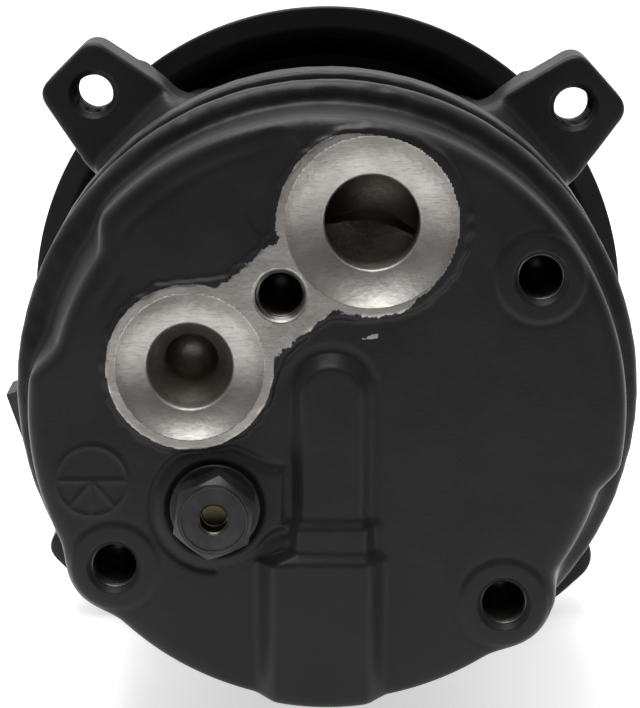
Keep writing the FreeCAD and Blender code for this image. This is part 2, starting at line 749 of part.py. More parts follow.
def needle_ring(r_in, r_out, y_mid, count, needle):
    """Thrust bearing: a cage with one pocket for each radial needle."""
    length = r_out - r_in - 2.0
    roller = Part.makeCylinder(needle, length, vec(r_in + 1, y_mid, 0), vec(1, 0, 0))
    pocket = block_xyz(r_in + 0.95, r_out - 0.95, y_mid - 2, y_mid + 2, -needle - 0.05,
                       needle + 0.05)
    cage = tube_y(r_out, r_in, y_mid - needle * 0.6, y_mid + needle * 0.6)
    cage = cage.cut(ringed(pocket, count))
    return Part.makeCompound([cage] + ringed(roller, count))


def make_journal():
    y_flange_back = y_ball + flange_at
    y_flange_front = y_flange_back + flange_t
    hub = rod_y(journal_hub_r, y_ball - journal_back, y_flange_front)
    flange = rod_y(journal_flange_r, y_flange_back, y_flange_front)
    y_pin = y_ball + drive_pin_ahead
    reach = drive_pin_r + 2.0
    ear = block_xyz(-ear_half, ear_half, y_flange_front - 0.5, y_pin, drive_pin_up - reach,
                    drive_pin_up + reach - 1.5)
    ear_end = Part.makeCylinder(reach, 2 * ear_half, vec(-ear_half, y_pin, drive_pin_up),
                                vec(1, 0, 0))
    body = joined([hub, flange, ear.common(rod_y(journal_flange_r + 10, y_ball, y_pin + 20)),
                   ear_end])
    cross = Part.makeCylinder(pivot_pin_r + shaft_gap, 4 * journal_hub_r,
                              vec(-2 * journal_hub_r, y_ball, 0), vec(1, 0, 0))
    pin_hole = Part.makeCylinder(drive_pin_r, 2 * cheek_outer,
                                 vec(-cheek_outer, y_pin, drive_pin_up), vec(1, 0, 0))
    bore = rod_y(journal_bore_r, y_ball - journal_back - 1, y_flange_front + 1)
    nodes["journal"] = body.cut([cross, pin_hole, bore]).removeSplitter()
    nodes["drive_pin"] = Part.makeCylinder(drive_pin_r, 2 * cheek_outer,
                                           vec(-cheek_outer, y_pin, drive_pin_up), vec(1, 0, 0))
    nodes["plate_retainer"] = tube_y(journal_hub_r + 3, journal_hub_r, y_ball - 0.8, y_ball + 0.8)
    y_needles = y_ball + (plate_back + plate_t + flange_at) / 2
    nodes["plate_needles"] = needle_ring(journal_hub_r + 2, journal_flange_r - 1, y_needles, 24,
                                         needle_r)


def make_sleeve():
    y0, y1 = y_ball - sleeve_half, y_ball + sleeve_half
    pin_span = journal_hub_r - 0.3
    pins, holes = [], []
    for side in (-1, 1):
        start = vec(side * (shaft_r + 0.5), y_ball, 0)
        pin = Part.makeCylinder(pivot_pin_r, pin_span - shaft_r - 0.5, start, vec(side, 0, 0))
        pins.append(pin)
        holes.append(pin)
    sleeve = tube_y(sleeve_r, shaft_r + shaft_gap, y0, y1)
    nodes["pivot_sleeve"] = sleeve.cut(holes)
    nodes["pivot_pins"] = Part.makeCompound(pins)
    wire = 0.7
    coil_r = shaft_r + shaft_gap + wire + 0.1
    room = y_lug_back - y1
    turns = 7
    helix = Part.makeHelix((room - 2 * wire) / turns, room - 2 * wire, coil_r)
    profile = Part.Wire(Part.makeCircle(wire, vec(coil_r, 0, 0), vec(0, 1, 0)))
    spring = Part.Wire(helix.Edges).makePipeShell([profile], True, True)
    spring.rotate(vec(0, 0, 0), vec(1, 0, 0), -90)
    spring.translate(vec(0, y1 + wire, 0))
    nodes["return_spring"] = spring


# ---- shaft and drive lug ----

def lug_path_end():
    """Drive pin's place at full tilt, as (y, z)."""
    tilt = math.radians(max_tilt_deg)
    slide = bore_circle_r * math.sin(tilt)
    y = y_ball + slide + drive_pin_ahead * math.cos(tilt) - drive_pin_up * math.sin(tilt)
    z = drive_pin_ahead * math.sin(tilt) + drive_pin_up * math.cos(tilt)
    return y, z


def make_drive_lug():
    y_pin = y_ball + drive_pin_ahead
    y_end, z_end = lug_path_end()
    margin = drive_pin_r + 2.6
    outline = [(y_lug_front, 8.0), (y_lug_back, 8.0), (y_lug_back - 3.5, 17.0),
               (y_pin - margin + 1.7, drive_pin_up - 3.6), (y_pin - margin + 1.7, z_end + 3.6),
               (y_end + margin - 1.2, z_end + 3.6), (y_lug_front, drive_pin_up - 3.0)]
    cheeks = []
    for x0 in (cheek_inner, -cheek_outer):
        face = face_of([vec(x0, y, z) for y, z in outline])
        cheeks.append(face.extrude(vec(cheek_outer - cheek_inner, 0, 0)))
    hub = rod_y(lug_hub_r, y_lug_back, y_lug_front)
    slot_r = drive_pin_r + drive_pin_gap
    dy, dz = y_end - y_pin, z_end - drive_pin_up
    length = math.hypot(dy, dz)
    ny, nz = -dz / length * slot_r, dy / length * slot_r
    corners = [vec(-20, y_pin + ny, drive_pin_up + nz), vec(-20, y_end + ny, z_end + nz),
               vec(-20, y_end - ny, z_end - nz), vec(-20, y_pin - ny, drive_pin_up - nz)]
    slot = face_of(corners).extrude(vec(40, 0, 0))
    ends = [Part.makeCylinder(slot_r, 40, vec(-20, y_pin, drive_pin_up), vec(1, 0, 0)),
            Part.makeCylinder(slot_r, 40, vec(-20, y_end, z_end), vec(1, 0, 0))]
    lug = joined([hub] + cheeks).cut([slot] + ends + [rod_y(shaft_r, y_lug_back - 20,
                                                            y_lug_front + 1)])
    nodes["drive_lug"] = lug.removeSplitter()
    race_t_front = 0.8
    nodes["thrust_race"] = tube_y(lug_hub_r + 6, shaft_r + bush_t + 0.5, y_wall - race_t_front,
                                  y_wall)
    needles_mid = (y_lug_front + y_wall - race_t_front) / 2
    nodes["thrust_needles"] = needle_ring(shaft_r + 2.2, lug_hub_r + 5.5, needles_mid, 18, 1.0)


def make_shaft():
    y0 = y_block + shaft_back
    y_step_down = y_nose_end - 4.0
    y_thread = hub_at + hub_plate_t + 1.5
    y_end = y_thread + nut_t + 1.5
    body = turned([(0, y0), (shaft_r - 1, y0), (shaft_r, y0 + 1), (shaft_r, y_step_down),
                   (shaft_end_r, y_step_down + 1.5), (shaft_end_r, y_thread),
                   (shaft_thread_r, y_thread), (shaft_thread_r, y_end - 1),
                   (shaft_thread_r - 1, y_end), (0, y_end)])
    key_y0, key_y1 = hub_at - 4.0, hub_at + hub_plate_t
    key = block_xyz(-1.5, 1.5, key_y0, key_y1, shaft_end_r - 1.8, shaft_end_r + 1.6)
    nodes["drive_shaft"] = body.cut(key)
    nodes["shaft_key"] = key
    boss = rod_y(hub_boss_r, y_step_down + 2.5, hub_at)
    plate = rod_y(hub_plate_r, hub_at, hub_at + hub_plate_t)
    rims = [rod_y(6.5, hub_at, hub_at + hub_plate_t, polar(hub_plate_r - 1.0, 90 + 120 * k))
            for k in range(spring_count)]
    hub = joined([boss, plate] + rims)
    nodes["clutch_hub"] = hub.cut([rod_y(shaft_end_r, y_step_down, hub_at + hub_plate_t + 1), key]
                                  + rivet_shanks(True))
    nut = hexagon(nut_flat, y_thread - 1.5, y_thread - 1.5 + nut_t)
    washer_cut = rod_y(shaft_thread_r, y_thread, y_end)
    seat_cut = rod_y(shaft_end_r, y_thread - 2, y_thread)
    nodes["shaft_nut"] = nut.cut([washer_cut, seat_cut])


# ---- clutch plate, springs and rivets ----

rivet_r = 2.0
outer_rivet_circle_r = 44.0
leaf_t = 0.8


def inner_rivet_at(k):
    return polar(hub_plate_r - 1.0, 90 + 120 * k)


def outer_rivet_at(k):
    return polar(outer_rivet_circle_r, 90 + 120 * k + 55)


def rivet_shanks(inner):
    """Shanks of the rivets, through the hub (inner) or the armature (outer)."""
    y_leaf = leaf_back()
    shanks = []
    for k in range(spring_count):
        if inner:
            shanks.append(rod_y(rivet_r, y_leaf, hub_at + hub_plate_t, inner_rivet_at(k)))
        else:
            y_arm = armature_back()
            shanks.append(rod_y(rivet_r, y_arm + 1.5, y_leaf + leaf_t, outer_rivet_at(k)))
    return shanks


def armature_back():
    return rotor_face_at + air_gap


def leaf_back():
    return armature_back() + armature_t


def make_clutch_plate():
    y0 = armature_back()
    y1 = y0 + armature_t
    plate = tube_y(armature_r, armature_inner_r, y0, y1)
    slots = []
    for k in range(3):
        slots.append(sector(36.0, 38.5, 100 + 120 * k, 170 + 120 * k, y0 - 1, y1 + 1))
    nodes["armature_plate"] = plate.cut(slots + rivet_shanks(False))
    leaves = []
    for k in range(spring_count):
        (x0, z0), (x1, z1) = inner_rivet_at(k), outer_rivet_at(k)
        length = math.hypot(x1 - x0, z1 - z0)
        half = 5.0
        nx, nz = -(z1 - z0) / length * half, (x1 - x0) / length * half
        strip = plate_y([(x0 + nx, z0 + nz), (x1 + nx, z1 + nz), (x1 - nx, z1 - nz),
                         (x0 - nx, z0 - nz)], leaf_back(), leaf_back() + leaf_t)
        leaf = joined([strip, rod_y(half, leaf_back(), leaf_back() + leaf_t, (x0, z0)),
                       rod_y(half, leaf_back(), leaf_back() + leaf_t, (x1, z1))])
        leaves.append(leaf)
    leaves = [leaf.cut(rivet_shanks(True) + rivet_shanks(False)) for leaf in leaves]
    nodes["leaf_springs"] = Part.makeCompound(leaves)
    hub_rivets = []
    for k, shank in enumerate(rivet_shanks(True)):
        y_top = hub_at + hub_plate_t
        spacer = tube_y(3.4, rivet_r, leaf_back() + leaf_t, hub_at, inner_rivet_at(k))
        head = rod_y(3.4, y_top, y_top + 1.2, inner_rivet_at(k))
        hub_rivets.append(joined([shank, head, spacer]))
    nodes["hub_rivets"] = Part.makeCompound(hub_rivets)
    plate_rivets = []
    for k, shank in enumerate(rivet_shanks(False)):
        y_top = leaf_back() + leaf_t
        head = rod_y(3.4, y_top, y_top + 1.2, outer_rivet_at(k))
        plate_rivets.append(joined([shank, head]))
    nodes["plate_rivets"] = Part.makeCompound(plate_rivets)


# ---- pulley, bearing and coil ----

def make_pulley():
    half = groove_count * groove_pitch / 2
    top, root = 0.25, 0.35
    flare = rim_mouth_r - rim_inner_r
    profile = [(rim_mouth_r, y_rim_back), (pulley_r - 0.8, y_rim_back),
               (pulley_r, y_rim_back + 0.8), (pulley_r, y_rim_back + pulley_flange_t - 0.4),
               (rib_r, y_rim_back + pulley_flange_t)]
    for k in range(groove_count):
        middle = -half + groove_pitch * (k + 0.5)
        wide = groove_pitch / 2 - top
        profile += [(rib_r, middle - wide), (rib_r - groove_depth, middle - root),
                    (rib_r - groove_depth, middle + root), (rib_r, middle + wide)]
    face = rotor_face_at
    inner_wall_r = coil_inner_r - coil_gap
    shell_in = coil_outer_r + coil_gap
    profile += [(rib_r, y_rim_front - 0.8), (rib_r - 0.8, y_rim_front),
                (rotor_outer_r, y_rim_front), (rotor_outer_r, face), (bearing_outer_r, face),
                (bearing_outer_r, y_nose + coil_back_t + 1), (inner_wall_r, y_nose + coil_back_t + 1),
                (inner_wall_r, face - rotor_face_t), (shell_in, face - rotor_face_t),
                (shell_in, y_nose + coil_back_t + 0.8), (rotor_outer_r, y_nose + coil_back_t + 0.8),
                (rotor_outer_r, y_rim_front - web_t), (rim_inner_r, y_rim_front - web_t),
                (rim_inner_r, y_rim_back + flare)]
    rotor = turned(profile)
    slots = []
    for radius, shift in ((36.0, 0.0), (46.5, 30.0)):
        slot = sector(radius, radius + 2.5, 6, 54, face - rotor_face_t - 1, face + 1)
        slots += [spun(slot, shift + 60 * k) for k in range(6)]
    clip_y = bearing_at + bearing_width
    clip_t = 1.5
    groove = rod_y(bearing_outer_r + 1.2, clip_y, clip_y + clip_t)
    nodes["pulley_rotor"] = rotor.cut(slots + [groove])
    nodes["bearing_clip"] = open_ring(bearing_outer_r + 1.2, bearing_outer_r - 2.0, clip_y, clip_t)


def make_bearing():
    pitch_r = (nose_r + bearing_outer_r) / 2
    rows = [bearing_at + bearing_width * 0.28, bearing_at + bearing_width * 0.72]
    grooves = [Part.makeTorus(pitch_r, bearing_ball_r + 0.05, vec(0, y, 0), vec(0, 1, 0))
               for y in rows]
    inner = tube_y(nose_r + race_t, nose_r, bearing_at, bearing_at + bearing_width)
    outer = tube_y(bearing_outer_r, bearing_outer_r - race_t, bearing_at,
                   bearing_at + bearing_width)
    nodes["bearing_inner_race"] = inner.cut(grooves)
    nodes["bearing_outer_race"] = outer.cut(grooves)
    balls = []
    for row, y in enumerate(rows):
        for k in range(balls_per_row):
            x, z = polar(pitch_r, 360.0 / balls_per_row * (k + 0.5 * row))
            balls.append(ball(bearing_ball_r, x, y, z))
    nodes["bearing_balls"] = Part.makeCompound(balls)


def make_coil():
    y0 = y_nose
    y1 = y0 + coil_back_t
    y2 = y1 + coil_length
    nodes["coil_housing"] = turned([(nose_r, y0), (coil_outer_r, y0), (coil_outer_r, y2),
                                    (coil_outer_r - coil_wall, y2),
                                    (coil_outer_r - coil_wall, y1 + 0.5),
                                    (coil_inner_r + coil_wall, y1 + 0.5),
                                    (coil_inner_r + coil_wall, y2), (coil_inner_r, y2),
                                    (coil_inner_r, y1), (nose_r, y1)])
    nodes["coil_winding"] = tube_y(coil_outer_r - coil_wall, coil_inner_r + coil_wall,
                                   y1 + 0.5, y2 - 1.0)
    nodes["coil_clip"] = open_ring(nose_r + 2.6, nose_r, y1, 1.2)
    make_connector(y0, y1)


def make_connector(y0, y1):
    """Plug housing at the side of the front head, on a strap from the coil's back plate."""
    half = connector_width / 2
    y_body = y_nose - connector_setback
    r_in = max(skirt_at(y_body), bolt_circle_r + bolt_boss_r) + seat_gap
    r_strap = r_in + 1.8
    tab = block_xyz(coil_outer_r - 6, r_strap, y0, y1 - 0.5, -4.5, 4.5)
    tab = tab.cut(rod_y(coil_outer_r, y0 - 1, y1 + 1))
    strap = block_xyz(r_in, r_strap, y_body, y1 - 0.5, -4.5, 4.5)
    body = block_xyz(r_in, connector_reach_r, y_body, y_body + connector_length, -half, half)
    wall = 1.8
    socket = block_xyz(connector_reach_r - 9, connector_reach_r + 1, y_body + wall,
                       y_body + connector_length - wall, -half + wall, half - wall)
    y_mid = y_body + connector_length / 2
    pins = [block_xyz(connector_reach_r - 11, connector_reach_r - 2, y_mid + side - 0.4,
                      y_mid + side + 0.4, -1.2, 1.2) for side in (-2.6, 2.6)]
    body = joined([tab, strap, body]).cut([socket] + pins)
    nodes["coil_connector"] = spun(body, connector_deg)
    nodes["connector_pins"] = Part.makeCompound([spun(pin, connector_deg) for pin in pins])


# ---- relief valve and control valve ----

def make_relief_valve():
    y_hex = y_rear - relief_hex_t - 1.0
    y_seat = y_rear - 1.0
    x, z = relief_at
    hexa = hexagon(relief_hex_flat, y_hex, y_seat, relief_at, relief_turn_deg)
    round_r = relief_hex_flat / 2
    chamfer = cone_y(round_r, round_r + 4.0, y_hex, y_hex + 2.3, relief_at)
    collar = rod_y(round_r + 4, y_hex + 2.3, y_seat, relief_at)
    hexa = hexa.common(joined([chamfer, collar]))
    washer = rod_y(relief_boss_r - 1.0, y_seat, y_rear, relief_at)
    shank = rod_y(relief_shank_r, y_seat, y_rear + relief_shank_t, relief_at)
    vent = rod_y(relief_vent_r, y_hex - 1, y_hex + 4, relief_at)
    y_poppet = y_rear + relief_shank_t - 2.0
    bore = rod_y(relief_bore_r, y_hex + 2.5, y_poppet, relief_at)
    inlet = rod_y(1.8, y_poppet - 1, y_rear + relief_shank_t + 1, relief_at)
    nodes["relief_valve_body"] = joined([hexa, washer, shank]).cut([vent, bore, inlet])
    y_back = y_poppet - 4.0
    poppet = rod_y(relief_bore_r - shaft_gap, y_back, y_poppet, relief_at)
    stem = rod_y(1.2, y_back - 3.0, y_back, relief_at)
    nodes["relief_poppet"] = joined([poppet, stem])
    wire = 0.45
    coil_r = relief_bore_r - wire - 0.15
    y_stop = y_hex + 4.0 + wire
    room = y_back - y_stop
    helix = Part.makeHelix((room - 2 * wire) / 5, room - 2 * wire, coil_r)
    profile = Part.Wire(Part.makeCircle(wire, vec(coil_r, 0, 0), vec(0, 1, 0)))
    spring = Part.Wire(helix.Edges).makePipeShell([profile], True, True)
    spring.rotate(vec(0, 0, 0), vec(1, 0, 0), -90)
    spring.translate(vec(x, y_stop + wire, z))
    nodes["relief_spring"] = spring


def upright(radius, z0, z1):
    """Cylinder along the control valve's axis."""
    return Part.makeCylinder(radius, z1 - z0, vec(valve_x, y_valve_axis, z0), vec(0, 0, 1))


def make_control_valve():
    fit = 0.1
    z_clip = valve_end + 2.0
    z_base = z_clip + 1.4
    body = joined([upright(valve_bore_r - fit, z_base, waist_bottom - 1.0),
                   upright(valve_waist_bore_r - fit, waist_bottom - 1.5, waist_top - 1.0),
                   upright(valve_tip_bore_r - fit, waist_top - 1.5, valve_tip_top - 4.0)])
    pin_r = 1.4
    cuts = [upright(pin_r + shaft_gap, waist_bottom - 8.0, valve_tip_top)]
    rings = []
    for radius, z in ((valve_bore_r, waist_bottom - 5.0), (valve_bore_r, z_base + 4.0),
                      (valve_waist_bore_r, waist_top - 4.0)):
        cuts.append(upright(radius + 1, z - 0.9, z + 0.9).cut(upright(radius - 1.8, z - 2, z + 2)))
        rings.append(Part.makeTorus(radius - 0.9, 0.9, vec(valve_x, y_valve_axis, z),
                                    vec(0, 0, 1)))
    nodes["control_valve"] = body.cut(cuts)
    nodes["control_valve_rings"] = Part.makeCompound(rings)
    nodes["control_valve_pin"] = upright(pin_r, waist_bottom - 8.0 + 0.2, valve_tip_top - 1.5)
    clip = upright(valve_bore_r + 1.0, z_clip, z_clip + 1.4)
    clip = clip.cut(upright(valve_bore_r - 2.0, z_clip - 1, z_clip + 2.4))
    gap = block_xyz(valve_x - 3, valve_x + 3, y_valve_axis, y_valve_axis + 20, z_clip - 1,
                    z_clip + 3)
    nodes["control_valve_clip"] = clip.cut(gap)


nodes["rear_head"] = make_rear_head()
make_valve_stack()
make_cylinder_block()
make_front_head()
make_through_bolts()
make_pistons_and_rods()
make_wobble_plate()
make_journal()
make_sleeve()
make_drive_lug()
make_shaft()
make_clutch_plate()
make_pulley()
make_bearing()
make_coil()
make_relief_valve()
make_control_valve()

os.makedirs("parts", exist_ok=True)
for name, shape in nodes.items():
    shape.exportStep(f"parts/{name}.step")
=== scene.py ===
import json
import math

import bpy
import numpy as np
import openvdb
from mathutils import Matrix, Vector


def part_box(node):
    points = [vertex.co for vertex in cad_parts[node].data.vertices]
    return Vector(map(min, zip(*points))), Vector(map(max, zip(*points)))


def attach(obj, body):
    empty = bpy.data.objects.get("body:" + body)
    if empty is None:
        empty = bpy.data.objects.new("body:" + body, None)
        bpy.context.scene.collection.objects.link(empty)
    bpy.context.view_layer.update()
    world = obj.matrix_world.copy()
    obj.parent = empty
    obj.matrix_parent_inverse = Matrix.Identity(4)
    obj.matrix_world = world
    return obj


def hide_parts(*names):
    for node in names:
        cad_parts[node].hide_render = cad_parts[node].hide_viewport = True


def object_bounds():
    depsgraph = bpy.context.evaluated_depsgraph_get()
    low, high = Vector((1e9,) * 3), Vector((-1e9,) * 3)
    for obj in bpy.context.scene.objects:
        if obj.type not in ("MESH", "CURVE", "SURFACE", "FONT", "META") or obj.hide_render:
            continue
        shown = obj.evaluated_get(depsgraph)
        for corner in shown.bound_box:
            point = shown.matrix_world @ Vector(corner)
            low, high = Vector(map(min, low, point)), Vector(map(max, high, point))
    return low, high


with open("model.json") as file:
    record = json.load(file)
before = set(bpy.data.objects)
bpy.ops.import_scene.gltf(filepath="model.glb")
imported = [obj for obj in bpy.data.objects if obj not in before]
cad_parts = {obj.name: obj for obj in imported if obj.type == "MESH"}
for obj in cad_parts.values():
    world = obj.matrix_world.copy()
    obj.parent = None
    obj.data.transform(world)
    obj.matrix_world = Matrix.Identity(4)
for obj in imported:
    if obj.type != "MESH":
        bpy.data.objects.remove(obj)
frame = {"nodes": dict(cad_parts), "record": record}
cad_box = [list(corner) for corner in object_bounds()]


# ---- table, room light and camera ----------------------------------------
# The compressor lies on a white table with its shaft level. A pale room lights it from above
# and behind; a long lens looks at the rear head from a little above the shaft.

mm = 0.001
mounts = {m["name"]: m["pos_m"] for m in frame["record"]["mounts"]}
y_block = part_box("rear_head")[1].y / mm         # rear head's joint with the block
plateau_depth, flange_t, neck_t = 17.0, 5.3, 11.7
y_face = y_block - neck_t - flange_t - plateau_depth

camera_drop = math.radians(11.5)                # lens axis below the level
camera_turn = math.radians(0.19)                # and a trace to the left
camera_away = 0.5976                            # lens to the rear face, along the lens axis
aim_left, aim_up = 1.386 * mm, 11.09 * mm       # aim point from the rear face's centre

look = Vector((-math.sin(camera_turn) * math.cos(camera_drop),
               math.cos(camera_turn) * math.cos(camera_drop), -math.sin(camera_drop)))
side = look.cross(Vector((0, 0, 1))).normalized()
up = side.cross(look)
aim = Vector((0, y_face * mm, 0)) - side * aim_left + up * aim_up

lens = bpy.data.cameras.new("camera")
lens.lens = 153.5
lens.sensor_width = 36.0
lens.clip_start, lens.clip_end = 0.01, 50.0
camera = bpy.data.objects.new("camera", lens)
camera.location = aim - look * camera_away
camera.rotation_euler = look.to_track_quat("-Z", "Y").to_euler()
bpy.context.scene.collection.objects.link(camera)
bpy.context.scene.camera = camera
bpy.context.scene.view_settings.view_transform = "Standard"


def add_node(tree, kind, inputs=None, **settings):
    """One shader node; an input is a plain value or another node's socket."""
    made = tree.nodes.new(kind)
    for name, value in settings.items():
        setattr(made, name, value)
    for name, value in (inputs or {}).items():
        if isinstance(value, bpy.types.NodeSocket):
            tree.links.new(value, made.inputs[name])
        else:
            made.inputs[name].default_value = value
    return made


def link_piece(name, mesh):
    piece = bpy.data.objects.new(name, mesh)
    bpy.context.scene.collection.objects.link(piece)
    return piece


def mesh_piece(name, points, faces, smooth=True):
    """Mesh object from points in millimetres."""
    mesh = bpy.data.meshes.new(name)
    mesh.from_pydata((np.asarray(points) * mm).tolist(), [], faces)
    mesh.polygons.foreach_set("use_smooth", [smooth] * len(mesh.polygons))
    mesh.update()
    return link_piece(name, mesh)


room = bpy.data.worlds.new("room")
bpy.context.scene.world = room
room.use_nodes = True
tree = room.node_tree
tree.nodes.clear()
way = add_node(tree, "ShaderNodeTexCoord").outputs["Generated"]
parts = add_node(tree, "ShaderNodeSeparateXYZ", {0: way})


def room_ramp(value, low, high, shade_low, shade_high):
    """Brightness that goes from one shade to another over a span of directions."""
    ramp = add_node(tree, "ShaderNodeMapRange", {"Value": value, "From Min": low, "From Max": high,
                    "To Min": shade_low, "To Max": shade_high}, interpolation_type="SMOOTHSTEP")
    return ramp.outputs["Result"]


def room_sum(operation, a, b):
    return add_node(tree, "ShaderNodeMath", {0: a, 1: b}, operation=operation).outputs[0]


rear_wall = room_ramp(parts.outputs["Y"], -0.7, 0.5, 0.04, 0.85)
ceiling = room_ramp(parts.outputs["Z"], 0.25, 0.95, 0.0, 0.5)
window = room_ramp(parts.outputs["X"], -0.95, -0.35, 0.12, 0.0)
shade = room_sum("ADD", room_sum("ADD", rear_wall, ceiling), window)
glow = add_node(tree, "ShaderNodeBackground", {"Color": (1, 1, 1, 1), "Strength": shade})
add_node(tree, "ShaderNodeOutputWorld", {"Surface": glow.outputs[0]})

lamp = bpy.data.lights.new("soft_box", "AREA")
lamp.shape = "RECTANGLE"
lamp.size, lamp.size_y = 0.75, 0.5
lamp.energy = 8.0
soft_box = bpy.data.objects.new("soft_box", lamp)
soft_box.location = (-0.10, -0.08, 0.74)
soft_box.rotation_euler = Vector((0.10, 0.02, -0.74)).to_track_quat("-Z", "Y").to_euler()
bpy.context.scene.collection.objects.link(soft_box)

table_half = 6000.0
table_z = cad_box[0][2] / mm - 0.05
table = mesh_piece("table", [(-table_half, -table_half, table_z), (table_half, -table_half, table_z),
                             (table_half, table_half, table_z), (-table_half, table_half, table_z)],
                   [(0, 1, 2, 3)])
white = bpy.data.materials.new("white_table")
white.use_nodes = True
tree = white.node_tree
shader = tree.nodes["Principled BSDF"]
place = add_node(tree, "ShaderNodeTexCoord").outputs["Object"]
cloud = add_node(tree, "ShaderNodeTexNoise", {"Vector": place, "Scale": 3.0})
tint = add_node(tree, "ShaderNodeMapRange", {"Value": cloud.outputs["Fac"], "To Min": 0.90,
                "To Max": 0.94})
nearness = add_node(tree, "ShaderNodeSeparateXYZ", {0: place}).outputs["Y"]
# painted shade: the table's colour darkens towards the front, standing in for light falling off away from
# the lamp
fade = add_node(tree, "ShaderNodeMapRange", {"Value": nearness, "From Min": -0.6, "From Max": -0.15,
                "To Min": 0.22, "To Max": 1.0}, interpolation_type="SMOOTHSTEP").outputs["Result"]
pale = add_node(tree, "ShaderNodeMath", {0: tint.outputs["Result"], 1: fade}, operation="MULTIPLY")
tree.links.new(pale.outputs[0], shader.inputs["Base Color"])
# painted light: the table glows, most near the compressor, to lift the shadows under it
painted_glow = add_node(tree, "ShaderNodeMath", {0: fade, 1: 0.55}, operation="MULTIPLY")
tree.links.new(painted_glow.outputs[0], shader.inputs["Emission Strength"])
shader.inputs["Roughness"].default_value = 0.7
shader.inputs["Specular IOR Level"].default_value = 0.1
shader.inputs["Emission Color"].default_value = (1, 1, 1, 1)
table.data.materials.append(white)


# ---- rear head -----------------------------------------------------------
# A die-cast aluminium head, painted satin black after its port pad was masked. The pad, the two
# port seats and the four M10 holes are machined; it is bolted to the block from inside.

def lattice(low, high, step):
    """Open grids of x, y and z that cover a box."""
    axes = [np.arange(a, b + step, step, dtype=np.float32) for a, b in zip(low, high)]
    return axes[0][:, None, None], axes[1][None, :, None], axes[2][None, None, :]


def merge(a, b, fillet):
    """Join of two solids, negative inside, with a fillet in the corner."""
    share = np.clip(0.5 + 0.5 * (b - a) / fillet, 0, 1)
    return b + (a - b) * share - fillet * share * (1 - share)


def trim(a, b, rounding):
    """What two solids share, with the edge rounded."""
    return -merge(-a, -b, rounding)


def carve(a, hole, rounding=0.3):
    return trim(a, -hole, rounding)


def rise(value, start, end):
    """Smooth step from 0 at start to 1 at end."""
    t = np.clip((value - start) / (end - start), 0, 1)
    return t * t * (3 - 2 * t)


def polar(radius, degrees):
    """(x, z) at a radius and an angle from +X."""
    return radius * math.cos(math.radians(degrees)), radius * math.sin(math.radians(degrees))


def from_axis(x, z, at):
    return np.sqrt((x - at[0]) ** 2 + (z - at[1]) ** 2)


def from_line(x, z, a, b):
    """Distance from a straight line between two points."""
    run = (b[0] - a[0], b[1] - a[1])
    t = np.clip(((x - a[0]) * run[0] + (z - a[1]) * run[1]) / (run[0] ** 2 + run[1] ** 2), 0, 1)
    return np.sqrt((x - a[0] - t * run[0]) ** 2 + (z - a[1] - t * run[1]) ** 2)


def cast_skin(x, y, z, size, seed):
    """Gentle waviness of a cast surface, about -1 to 1."""
    draw = np.random.default_rng(seed)
    total = 0.0
    for _ in range(7):
        turn = draw.normal(size=3)
        turn *= 2 * math.pi / size / np.linalg.norm(turn) * draw.uniform(0.6, 1.6)
        total = total + np.sin(turn[0] * x + turn[1] * y + turn[2] * z + draw.uniform(0, 6.3))
    return total / 3.5


def skin_mesh(name, field, low, step):
    """Closed mesh where the field crosses zero."""
    grid = openvdb.FloatGrid(3.0)
    grid.copyFromArray(np.clip(field, -3, 3).astype(np.float32))
    points, triangles, quads = grid.convertToPolygons(isovalue=0.0, adaptivity=0.0)
    faces = [tuple(f[::-1]) for f in quads.tolist()] + [tuple(f[::-1]) for f in triangles.tolist()]
    return mesh_piece(name, points * step + np.array(low), faces)


def mount_at(name):
    """A mount's place across the shaft, (x, z) in millimetres."""
    return mounts[name][0] / mm, mounts[name][2] / mm


suction, discharge = mount_at("suction_port"), mount_at("discharge_port")
manifold = mount_at("manifold_bolt")
rear_holes = [mount_at(f"rear_hole_{k}") for k in (1, 2, 3)]
relief_low, relief_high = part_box("relief_poppet")
relief = ((relief_low.x + relief_high.x) / 2 / mm, (relief_low.z + relief_high.z) / 2 / mm)

plateau_r, plateau_drop, rim_r, neck_r = 59.2, 1.2, 63.3, 60.3
suction_boss_r, discharge_boss_r = 19.0, 17.0
suction_seat_r, discharge_seat_r = 16.9, 14.7
suction_bore_r, discharge_bore_r = 9.3, 8.4
pad_proud, seat_depth = 1.0, 0.7
neck_half = 9.5                                 # half width of the strip between the ports
upper_notch, upper_notch_depth = (138, 147, 166, 175), 4.6      # degrees where it opens and closes
lower_notch, lower_notch_depth = (-42, -36, -19, -11), 3.6
hole_boss_r = 9.6
web_middle, web_half, web_right, web_left = -18.2, 6.6, -7.4, -22.0
relief_seat_r, relief_ring_r = 9.0, 12.3
rib_top, rib_half, rib_proud = 11.7, 8.3, 2.7
collar_wider, collar_prouder = 1.0, 1.0
housing_wider, housing_prouder = 4.6, 1.4
dial, dial_r = (-46.8, -14.5), 7.0
valve_bores = ((10.6, -30.0), (6.6, -22.0), (4.2, -6.0))        # radius and upper end
gas_room_depth, suction_room_r, discharge_room_in, discharge_room_out = 14.0, 33.5, 36.5, 50.0
stack_r, stack_depth = 57.0, 4.0
tap_r, tap_mouth_r, tap_depth = 4.25, 5.3, 16.0
valve_x = -0.8
valve_axis = y_face + 8.0
head_step = 0.4


def pad_edge(x, z):
    """Distance outside the port pad's outline."""
    bosses = np.minimum(from_axis(x, z, suction) - suction_boss_r,
                        from_axis(x, z, discharge) - discharge_boss_r)
    return merge(bosses, from_line(x, z, suction, discharge) - neck_half, 4.0)


